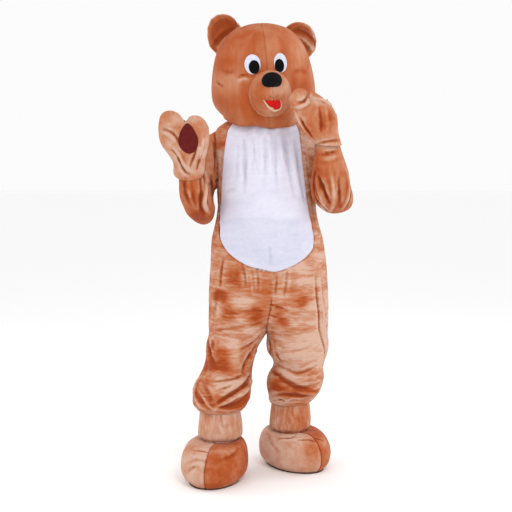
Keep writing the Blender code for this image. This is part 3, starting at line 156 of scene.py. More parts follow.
def brushed_pile_and_fold_light_group():
    """How pale the pile looks, 0 where it lies away and 1 where it is brushed open, with painted highlight
    on fold ridges and painted shade in hollows added from the Fold input.
    """
    takes = [
        ("Position", "NodeSocketVector", None),
        ("Nap", "NodeSocketFloat", 0.5),
        ("Fold", "NodeSocketFloat", 0.0),
        ("Patch Scale", "NodeSocketFloat", 9.0),
        ("Patch Strength", "NodeSocketFloat", 1.0),
        ("Streak Scale", "NodeSocketFloat", 40.0),
        ("Streak Strength", "NodeSocketFloat", 0.5),
        ("Fold Strength", "NodeSocketFloat", 0.6),
    ]
    group = new_group("brushed_pile_and_fold_light", takes, [("Pale", "NodeSocketFloat"), ("Height", "NodeSocketFloat")])
    source = add_node(group, "NodeGroupInput", (-900, 0))
    patches = add_node(group, "ShaderNodeTexNoise", (-650, 250))
    patches.inputs["Detail"].default_value = 3.0
    patches.inputs["Roughness"].default_value = 0.55
    patches.inputs["Distortion"].default_value = 0.5
    streaks = add_node(group, "ShaderNodeTexNoise", (-650, 0))
    streaks.inputs["Detail"].default_value = 4.0
    streaks.inputs["Roughness"].default_value = 0.6
    streaks.inputs["Distortion"].default_value = 0.25
    for node, scale in ((patches, "Patch Scale"), (streaks, "Streak Scale")):
        group.links.new(source.outputs["Position"], node.inputs["Vector"])
        group.links.new(source.outputs[scale], node.inputs["Scale"])
    patch = calculate(group, (-450, 250), "SUBTRACT", patches.outputs["Fac"], 0.5)
    patch = calculate(group, (-300, 250), "MULTIPLY", patch, source.outputs["Patch Strength"])
    streak = calculate(group, (-450, 0), "SUBTRACT", streaks.outputs["Fac"], 0.5)
    streak = calculate(group, (-300, 0), "MULTIPLY", streak, source.outputs["Streak Strength"])
    fold_strength = source.outputs["Fold Strength"]
    # The fold value makes ridges paler and hollows darker: painted highlight and painted shade
    fold = calculate(group, (-300, -200), "MULTIPLY", source.outputs["Fold"], fold_strength)
    total = calculate(group, (-120, 120), "ADD", patch, streak)
    total = calculate(group, (0, 0), "ADD", total, fold)
    pale = calculate(group, (140, 0), "ADD", total, source.outputs["Nap"], clamp=True)
    result = add_node(group, "NodeGroupOutput", (320, 0))
    group.links.new(pale, result.inputs["Pale"])
    group.links.new(streaks.outputs["Fac"], result.inputs["Height"])
    return group


def pile_grain_group():
    """The tips of the pile: a fine speckle, clumped into small tufts."""
    takes = [("Position", "NodeSocketVector", None), ("Tuft Scale", "NodeSocketFloat", 260.0)]
    group = new_group("pile_grain", takes, [("Speckle", "NodeSocketFloat"), ("Height", "NodeSocketFloat")])
    source = add_node(group, "NodeGroupInput", (-600, 0))
    tufts = add_node(group, "ShaderNodeTexNoise", (-380, 120))
    tufts.inputs["Detail"].default_value = 3.0
    tufts.inputs["Roughness"].default_value = 0.7
    group.links.new(source.outputs["Position"], tufts.inputs["Vector"])
    group.links.new(source.outputs["Tuft Scale"], tufts.inputs["Scale"])
    fine = add_node(group, "ShaderNodeTexNoise", (-380, -120))
    fine.inputs["Scale"].default_value = 1100.0
    fine.inputs["Detail"].default_value = 1.0
    group.links.new(source.outputs["Position"], fine.inputs["Vector"])
    height = calculate(group, (-160, 0), "ADD", tufts.outputs["Fac"], fine.outputs["Fac"])
    result = add_node(group, "NodeGroupOutput", (60, 0))
    group.links.new(tufts.outputs["Fac"], result.inputs["Speckle"])
    group.links.new(height, result.inputs["Height"])
    return group


BRUSHED_PILE_AND_FOLD_LIGHT = brushed_pile_and_fold_light_group()
PILE_GRAIN = pile_grain_group()
print("node groups:", BRUSHED_PILE_AND_FOLD_LIGHT.name, PILE_GRAIN.name)

# %% [markdown]
# ## Plush materials
#
# Each plush material is the same cloth with its own nap. The colour runs from a deep orange-brown,
# which the painted shade of hollows also reaches, by way of the dyed orange to the pale tips, and the
# hollows are multiplied darker still as painted shade. Sheen gives the bright rim that short pile has
# where it is seen edge on. Its weight, roughness and tint are the same all over, so they are set on
# the shader's own sockets.


# %% Make the tan, white and black plush
def ramp_node(tree, place, stops):
    """A colour ramp with the given (position, colour) stops."""
    node = add_node(tree, "ShaderNodeValToRGB", place)
    elements = node.color_ramp.elements
    while len(elements) > 2:
        elements.remove(elements[-1])
    for element, (position, colour) in zip(elements, stops):
        element.position, element.color = position, (*colour, 1)
    for position, colour in stops[2:]:
        element = elements.new(position)
        element.color = (*colour, 1)
    return node


def new_material(name):
    made = bpy.data.materials.new(name)
    made.use_nodes = True
    return made, made.node_tree, made.node_tree.nodes["Principled BSDF"]


# fold sets how much paler ridges and darker hollows are painted, and hollow how far hollows are multiplied
# towards the hollow shade colour: painted highlight and painted shade
Plush = namedtuple("Plush", "stretch patch_scale patch streak_scale streak fold hollow")
# The colour that hollows and creases are multiplied towards: painted shade
PAINTED_HOLLOW_SHADE = (0.30, 0.26, 0.28)
SPECKLE = 0.22
DARK_ROUGHNESS = 0.93
PALE_SMOOTHER = -0.18
STREAK_RELIEF = 1.2
TAN_STOPS = [
    (0.00, (0.33, 0.054, 0.010)),
    (0.25, (0.42, 0.090, 0.024)),
    (0.55, (0.50, 0.180, 0.082)),
    (0.80, (0.56, 0.290, 0.190)),
    (1.00, (0.63, 0.400, 0.300)),
]
WHITE_STOPS = [
    (0.00, (0.42, 0.42, 0.54)),
    (0.45, (0.58, 0.59, 0.72)),
    (1.00, (0.77, 0.76, 0.87)),
]
BLACK_STOPS = [
    (0.00, (0.0015, 0.0015, 0.0020)),
    (0.50, (0.0035, 0.0035, 0.0045)),
    (1.00, (0.0120, 0.0120, 0.0140)),
]


def plush_material(name, stops, look, sheen_weight, sheen_tint, bump=0.0016):
    """Plush with its nap brushed along the directions that look.stretch leaves long."""
    made, tree, shader = new_material(name)
    place = add_node(tree, "ShaderNodeTexCoord", (-1300, 0))
    stretched = add_node(tree, "ShaderNodeMapping", (-1100, 100))
    stretched.inputs["Scale"].default_value = look.stretch
    tree.links.new(place.outputs["Object"], stretched.inputs["Vector"])
    nap = add_node(tree, "ShaderNodeAttribute", (-1100, -150), attribute_name="nap")
    fold = add_node(tree, "ShaderNodeAttribute", (-1100, -330), attribute_name="fold")
    pile = add_node(tree, "ShaderNodeGroup", (-850, 0), node_tree=BRUSHED_PILE_AND_FOLD_LIGHT)
    tree.links.new(stretched.outputs["Vector"], pile.inputs["Position"])
    tree.links.new(nap.outputs["Fac"], pile.inputs["Nap"])
    tree.links.new(fold.outputs["Fac"], pile.inputs["Fold"])
    pile.inputs["Patch Scale"].default_value = look.patch_scale
    pile.inputs["Patch Strength"].default_value = look.patch
    pile.inputs["Streak Scale"].default_value = look.streak_scale
    pile.inputs["Streak Strength"].default_value = look.streak
    pile.inputs["Fold Strength"].default_value = look.fold
    grain = add_node(tree, "ShaderNodeGroup", (-850, -350), node_tree=PILE_GRAIN)
    tree.links.new(place.outputs["Object"], grain.inputs["Position"])
    speckle = calculate(tree, (-620, -200), "SUBTRACT", grain.outputs["Speckle"], 0.5)
    speckle = calculate(tree, (-500, -200), "MULTIPLY", speckle, SPECKLE)
    tone = calculate(tree, (-480, 0), "ADD", pile.outputs["Pale"], speckle, clamp=True)
    ramp = ramp_node(tree, (-400, 200), stops)
    tree.links.new(tone, ramp.inputs["Fac"])
    # Where the fold value is below 0 the colour is multiplied darker: painted shade in hollows and creases
    hollow = calculate(tree, (-620, 330), "MULTIPLY", fold.outputs["Fac"], -look.hollow, clamp=True)
    shaded = add_node(tree, "ShaderNodeMix", (-140, 200), data_type="RGBA", blend_type="MULTIPLY")
    shaded.inputs["B"].default_value = (*PAINTED_HOLLOW_SHADE, 1)
    tree.links.new(hollow, shaded.inputs["Factor"])
    tree.links.new(ramp.outputs["Color"], shaded.inputs["A"])
    tree.links.new(shaded.outputs["Result"], shader.inputs["Base Color"])
    roughness = calculate(tree, (-300, -180), "MULTIPLY", tone, PALE_SMOOTHER)
    roughness = calculate(tree, (-160, -180), "ADD", roughness, DARK_ROUGHNESS)
    tree.links.new(roughness, shader.inputs["Roughness"])
    streaks = calculate(tree, (-480, -420), "MULTIPLY", pile.outputs["Height"], STREAK_RELIEF)
    height = calculate(tree, (-330, -420), "ADD", streaks, grain.outputs["Height"])
    raised = add_node(tree, "ShaderNodeBump", (-160, -380))
    raised.inputs["Strength"].default_value = 0.55
    raised.inputs["Distance"].default_value = bump
    tree.links.new(height, raised.inputs["Height"])
    tree.links.new(raised.outputs["Normal"], shader.inputs["Normal"])
    shader.inputs["Sheen Weight"].default_value = sheen_weight
    shader.inputs["Sheen Roughness"].default_value = 0.38
    shader.inputs["Sheen Tint"].default_value = (*sheen_tint, 1)
    shader.inputs["Specular IOR Level"].default_value = 0.15
    return made


TAN_SHEEN = (1.0, 0.80, 0.70)
TAN_SHEEN_WEIGHT = 0.14
ACROSS = (0.55, 0.8, 2.4)
DOWN = (1.5, 1.3, 0.6)
ANYWAY = (1.0, 1.0, 1.0)
PLUSH_LOOKS = {
    "suit_plush": Plush(ACROSS, 12.0, 1.5, 44.0, 1.1, 0.40, 0.42),
    "back_plush": Plush(ACROSS, 10.0, 1.3, 40.0, 1.0, 0.40, 0.42),
    "sleeve_plush": Plush(DOWN, 11.0, 0.9, 40.0, 0.35, 0.50, 0.60),
    "head_plush": Plush(DOWN, 9.0, 0.75, 34.0, 0.22, 0.45, 0.40),
    "muzzle_plush": Plush(ANYWAY, 16.0, 0.45, 50.0, 0.20, 0.50, 0.40),
    "ear_plush": Plush(ANYWAY, 16.0, 0.4, 50.0, 0.20, 0.50, 0.40),
    "mitt_plush": Plush(ANYWAY, 17.0, 0.9, 55.0, 0.40, 0.50, 0.55),
    "cuff_plush": Plush(DOWN, 16.0, 0.9, 50.0, 0.60, 0.35, 0.40),
    "boot_plush": Plush(ANYWAY, 12.0, 0.9, 45.0, 0.45, 0.40, 0.35),
}
FINISHES = {}
for plush_name, plush_look in PLUSH_LOOKS.items():
    FINISHES[plush_name] = plush_material(
        plush_name, TAN_STOPS, plush_look, TAN_SHEEN_WEIGHT, TAN_SHEEN
    )
BELLY_LOOK = Plush((0.8, 0.8, 1.6), 8.0, 0.5, 60.0, 0.4, 0.30, 0.12)
NOSE_LOOK = Plush(ANYWAY, 30.0, 0.5, 120.0, 0.5, 0.3, 0.2)
FINISHES["belly_plush"] = plush_material("belly_plush", WHITE_STOPS, BELLY_LOOK, 0.12, (0.9, 0.92, 1.0))
FINISHES["nose_plush"] = plush_material("nose_plush", BLACK_STOPS, NOSE_LOOK, 0.0, (0.6, 0.6, 0.65))
print("plush materials:", ", ".join(FINISHES))

# %% [markdown]
# ## Felt, backing cloth, zip and sole
#
# The eyes, mouth and paw pads are felt: matted fibres with no pile, so a flat colour broken by short
# crossing fibres and a little mottling. The inside of every panel shows the knitted backing of the
# plush, in small loops.


# %% Make the felts and the plain cloths
def felt_material(name, dark, light, fibre_scale=420.0, roughness=0.95):
    """Matted fibres: two colours mixed by soft mottling and fine noise, with a fibrous bump."""
    made, tree, shader = new_material(name)
    place = add_node(tree, "ShaderNodeTexCoord", (-900, 0))
    mottling = add_node(tree, "ShaderNodeTexNoise", (-700, 150))
    mottling.inputs["Scale"].default_value = 55.0
    mottling.inputs["Detail"].default_value = 4.0
    fibres = add_node(tree, "ShaderNodeTexNoise", (-700, -120))
    fibres.inputs["Scale"].default_value = fibre_scale
    fibres.inputs["Detail"].default_value = 3.0
    fibres.inputs["Distortion"].default_value = 2.5
    for node in (mottling, fibres):
        tree.links.new(place.outputs["Object"], node.inputs["Vector"])
    both = calculate(tree, (-480, 60), "ADD", mottling.outputs["Fac"], fibres.outputs["Fac"])
    both = calculate(tree, (-340, 60), "MULTIPLY", both, 0.5)
    ramp = ramp_node(tree, (-200, 100), [(0.35, dark), (0.65, light)])
    tree.links.new(both, ramp.inputs["Fac"])
    tree.links.new(ramp.outputs["Color"], shader.inputs["Base Color"])
    raised = add_node(tree, "ShaderNodeBump", (-200, -200))
    raised.inputs["Strength"].default_value = 0.5
    raised.inputs["Distance"].default_value = 0.0006
    tree.links.new(fibres.outputs["Fac"], raised.inputs["Height"])
    tree.links.new(raised.outputs["Normal"], shader.inputs["Normal"])
    shader.inputs["Roughness"].default_value = roughness
    shader.inputs["Sheen Weight"].default_value = 0.12
    shader.inputs["Sheen Roughness"].default_value = 0.5
    shader.inputs["Specular IOR Level"].default_value = 0.1
    return made


def knit_material(name, dark, light, pitch):
    """Rows of small loops, pitch apart, as a knitted backing or a woven tape shows."""
    made, tree, shader = new_material(name)
    place = add_node(tree, "ShaderNodeTexCoord", (-900, 0))
    wales = add_node(tree, "ShaderNodeTexWave", (-700, 120), bands_direction="X")
    courses = add_node(tree, "ShaderNodeTexWave", (-700, -160), bands_direction="Z")
    for wave in (wales, courses):
        wave.inputs["Scale"].default_value = 0.314 / pitch
        wave.inputs["Distortion"].default_value = 0.6
        tree.links.new(place.outputs["Object"], wave.inputs["Vector"])
    loops = calculate(tree, (-480, 0), "MULTIPLY", wales.outputs["Fac"], courses.outputs["Fac"])
    ramp = ramp_node(tree, (-300, 100), [(0.0, dark), (1.0, light)])
    tree.links.new(loops, ramp.inputs["Fac"])
    tree.links.new(ramp.outputs["Color"], shader.inputs["Base Color"])
    raised = add_node(tree, "ShaderNodeBump", (-200, -200))
    raised.inputs["Strength"].default_value = 0.4
    raised.inputs["Distance"].default_value = pitch / 3
    tree.links.new(loops, raised.inputs["Height"])
    tree.links.new(raised.outputs["Normal"], shader.inputs["Normal"])
    shader.inputs["Roughness"].default_value = 0.9
    return made


FINISHES["eye_white_felt"] = felt_material("eye_white_felt", (0.56, 0.57, 0.67), (0.72, 0.73, 0.84))
FINISHES["mouth_felt"] = felt_material("mouth_felt", (0.46, 0.003, 0.004), (0.70, 0.008, 0.008))
FINISHES["lip_felt"] = felt_material("lip_felt", (0.52, 0.37, 0.24), (0.78, 0.62, 0.46))
FINISHES["pad_felt"] = felt_material("pad_felt", (0.085, 0.006, 0.006), (0.145, 0.014, 0.012))
FINISHES["backing_knit"] = knit_material("backing_knit", (0.30, 0.13, 0.06), (0.55, 0.30, 0.17), 0.0022)
FINISHES["white_backing_knit"] = knit_material(
    "white_backing_knit", (0.5, 0.5, 0.55), (0.8, 0.8, 0.84), 0.0022
)
FINISHES["zip_tape"] = knit_material("zip_tape", (0.14, 0.05, 0.02), (0.30, 0.12, 0.05), 0.0014)
print("cloth materials:", len(FINISHES))


def sole_material():
    """Matt dark rubber with small raised grip dots, scuffed paler here and there."""
    made, tree, shader = new_material("boot_sole_rubber")
    place = add_node(tree, "ShaderNodeTexCoord", (-900, 0))
    dots = add_node(tree, "ShaderNodeTexVoronoi", (-700, -150), feature="SMOOTH_F1")
    dots.inputs["Scale"].default_value = 160.0
    dots.inputs["Randomness"].default_value = 0.12
    scuffs = add_node(tree, "ShaderNodeTexNoise", (-700, 150))
    scuffs.inputs["Scale"].default_value = 24.0
    scuffs.inputs["Detail"].default_value = 6.0
    for node in (dots, scuffs):
        tree.links.new(place.outputs["Object"], node.inputs["Vector"])
    ramp = ramp_node(tree, (-300, 100), [(0.35, (0.030, 0.014, 0.008)), (0.70, (0.085, 0.045, 0.028))])
    tree.links.new(scuffs.outputs["Fac"], ramp.inputs["Fac"])
    tree.links.new(ramp.outputs["Color"], shader.inputs["Base Color"])
    raised = add_node(tree, "ShaderNodeBump", (-200, -200), invert=True)
    raised.inputs["Strength"].default_value = 0.6
    raised.inputs["Distance"].default_value = 0.0008
    tree.links.new(dots.outputs["Distance"], raised.inputs["Height"])
    tree.links.new(raised.outputs["Normal"], shader.inputs["Normal"])
    shader.inputs["Roughness"].default_value = 0.82
    return made


FINISHES["boot_sole"] = sole_material()
FINISHES["dark_thread"] = felt_material("dark_thread", (0.030, 0.012, 0.008), (0.070, 0.026, 0.014), 900.0)
FINISHES["white_thread"] = felt_material("white_thread", (0.50, 0.50, 0.58), (0.66, 0.66, 0.76), 900.0)
FINISHES["maroon_thread"] = felt_material("maroon_thread", (0.10, 0.012, 0.010), (0.20, 0.03, 0.024), 900.0)
FINISHES["zip_coil"] = felt_material("zip_coil", (0.10, 0.045, 0.022), (0.16, 0.075, 0.040), 700.0, 0.45)

# %% [markdown]
# ## The outer face of each wall
#
# Every cloth piece in the frame is a closed wall: an outer face, an inner face and a narrow rim. The
# cloth is made again from the outer face alone. Two faces of the wall lie back to back, so a short
# ray from one into the wall meets the other. The rim has no such partner. Of the two faces, the outer
# one is the larger, or the one that looks the way the piece faces.


# %% Lift the outer faces off the walls
WELD = 1e-5
THICKEST_WALL = 0.016
# Normals of two faces count as back to back below this cosine, and as one smooth side above the next
BACK_TO_BACK = -0.6
SAME_SIDE = 0.2
# A pair of faces further apart than this many times the usual thickness isn't the wall
MOST_OF_USUAL = 1.7
RIM_PASSES = 8
FACING = {"ear_front": -1, "ear_back": 1}


def alone(piece):
    """Selects one object and makes it active."""
    bpy.ops.object.select_all(action="DESELECT")
    piece.select_set(True)
    bpy.context.view_layer.objects.active = piece


def paired_faces(mesh):
    """The faces of a wall that have another face close behind them."""
    tree = BVHTree.FromBMesh(mesh)
    behind = {}
    for face in mesh.faces:
        start = face.calc_center_median() - face.normal * WELD
        hit, normal, _, distance = tree.ray_cast(start, -face.normal, THICKEST_WALL)
        if hit and normal.dot(face.normal) < BACK_TO_BACK:
            behind[face] = distance
    if not behind:
        return set()
    usual = sorted(behind.values())[len(behind) // 2]
    return {face for face, distance in behind.items() if distance < MOST_OF_USUAL * usual}


def regions_of(faces):
    """Splits faces into smooth regions, the largest first."""
    left, regions = set(faces), []
    while left:
        waiting = [left.pop()]
        region = set(waiting)
        while waiting:
            face = waiting.pop()
            for edge in face.edges:
                for other in edge.link_faces:
                    if other in left and face.normal.dot(other.normal) > SAME_SIDE:
                        left.remove(other)
                        region.add(other)
                        waiting.append(other)
        regions.append(region)
    return sorted(regions, key=lambda region: -sum(face.calc_area() for face in region))


def corners_of(faces):
    return {vertex for face in faces for vertex in face.verts}


def outer_wall(name):
    """A bmesh of the outer face of a node's wall, in the object's frame."""
    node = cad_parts[name]
    wall = bmesh.new()
    wall.from_mesh(node.data)
    wall.transform(node.matrix_world)
    bmesh.ops.remove_doubles(wall, verts=wall.verts, dist=WELD)
    wall.normal_update()
    outer, inner = regions_of(paired_faces(wall))[:2]
    facing = FACING.get(name.rsplit("_", 1)[0], 0)
    if facing:
        looks = [sum(face.normal.y * face.calc_area() for face in side) * facing for side in (outer, inner)]
        if looks[1] > looks[0]:
            outer, inner = inner, outer
    for _ in range(RIM_PASSES):
        outer_corners, inner_corners = corners_of(outer), corners_of(inner)
        for face in wall.faces:
            if face in outer or face in inner:
                continue
            on_outer = sum(vertex in outer_corners for vertex in face.verts)
            on_inner = sum(vertex in inner_corners for vertex in face.verts)
            if on_outer >= 2 and not on_inner:
                outer.add(face)
            elif on_inner >= 2 and not on_outer:
                inner.add(face)
    leaked = len(outer) > len(inner)
    shared = corners_of(outer) & corners_of(inner) if leaked else set()
    spare = [face for face in wall.faces if face not in outer or any(v in shared for v in face.verts)]
    bmesh.ops.delete(wall, geom=spare, context="FACES")
    return wall


# %% [markdown]
# ## One smooth skin for each garment
#
# The outer faces of a garment's pieces meet at its seams, 0.3 mm apart. Welded there, they make one
# skin, so that a fold can run across a seam as it does in cloth. Subdivision smooths the skin, but it
# also draws it inwards at every bend. The cage is moved out against that a few times, until the
# smooth skin passes through the points that it started from.

# %% Join, weld and smooth
SEAM_REACH = 0.0012
SMALL_HOLE_SIDES = 6
GARMENTS = {
    "suit": ["belly", "front_left", "front_right", "back_left", "back_right", "sleeve_left", "sleeve_right"],
    "head": ["face_left", "face_right", "head_back_left", "head_back_right"],
}
for side in ("left", "right"):
    GARMENTS[f"mitt_{side}"] = [f"palm_{side}", f"mitt_back_{side}"]
    GARMENTS[f"boot_{side}"] = [f"ankle_cuff_{side}", f"boot_inner_{side}", f"boot_outer_{side}"]


def kind_of(piece):
    """The name of a piece without its side."""
    return piece.replace("_left", "").replace("_right", "")


def points_of(mesh):
    values = np.empty(len(mesh.vertices) * 3)
    mesh.vertices.foreach_get("co", values)
    return values.reshape(-1, 3)


def set_points(mesh, points):
    mesh.vertices.foreach_set("co", np.asarray(points, float).ravel())
    mesh.update()


def normals_of(mesh):
    values = np.empty(len(mesh.vertices) * 3)
    mesh.vertex_normals.foreach_get("vector", values)
    return values.reshape(-1, 3)


def welded_skin(name, pieces):
    """One object from the outer faces of some pieces, with a material slot for each."""
    skin = bmesh.new()
    for index, piece in enumerate(pieces):
        wall = outer_wall(piece)
        for face in wall.faces:
            face.material_index = index
        part = bpy.data.meshes.new(piece)
        wall.to_mesh(part)
        wall.free()
        skin.from_mesh(part)
        bpy.data.meshes.remove(part)
    rims = [vertex for vertex in skin.verts if vertex.is_boundary]
    bmesh.ops.remove_doubles(skin, verts=rims, dist=SEAM_REACH)
    open_edges = [edge for edge in skin.edges if edge.is_boundary]
    filled = bmesh.ops.holes_fill(skin, edges=open_edges, sides=SMALL_HOLE_SIDES)["faces"]
    for face in filled:
        beside = [other for edge in face.edges for other in edge.link_faces if other not in filled]
        face.material_index = max(other.material_index for other in beside)
    mesh = bpy.data.meshes.new(name)
    skin.to_mesh(mesh)
    skin.free()
    garment = bpy.data.objects.new(name, mesh)
    bpy.context.scene.collection.objects.link(garment)
    alone(garment)
    bpy.ops.object.mode_set(mode="EDIT")
    bpy.ops.mesh.select_all(action="SELECT")
    bpy.ops.mesh.tris_convert_to_quads(face_threshold=math.pi, shape_threshold=math.pi, materials=True)
    bpy.ops.object.mode_set(mode="OBJECT")
    return garment


def smooth_through(garment, levels, rounds=4):
    """Subdivides a skin so that it passes through the points that it has now."""
    wanted = points_of(garment.data)
    cage = wanted.copy()
    smoother = garment.modifiers.new("smooth", "SUBSURF")
    smoother.levels = smoother.render_levels = 1
    smoother.use_limit_surface = True
    for _ in range(rounds):
        graph = bpy.context.evaluated_depsgraph_get()
        reached = points_of(garment.evaluated_get(graph).data)[: len(wanted)]
        cage += wanted - reached
        set_points(garment.data, cage)
    smoother.levels = smoother.render_levels = levels
    alone(garment)
    bpy.ops.object.modifier_apply(modifier=smoother.name)


skins = {}
for garment_name, pieces in GARMENTS.items():
    skins[garment_name] = welded_skin(garment_name, pieces)
    smooth_through(skins[garment_name], levels=3)
    print(garment_name, "skin:", len(skins[garment_name].data.polygons), "faces")

# %% [markdown]
# ## Creases, seams and the nap
#
# Cloth this thick doesn't fold sharply: a crease is a soft trough with a little swell on both sides,
# or a ridge with a hollow on both sides. Each one in the tables is a path on a panel, seen from the
# front, back or a side, with its depth (above 0 a ridge) and half width. It is laid on the skin, and
# the skin is pushed in or out along it, unevenly, fading out at its ends. The photograph shows the
# front. The back and the sides get creases of the same kinds, in other places: drag lines from the
# crotch, rolls over the ankle cuffs, bunches at the elbows.

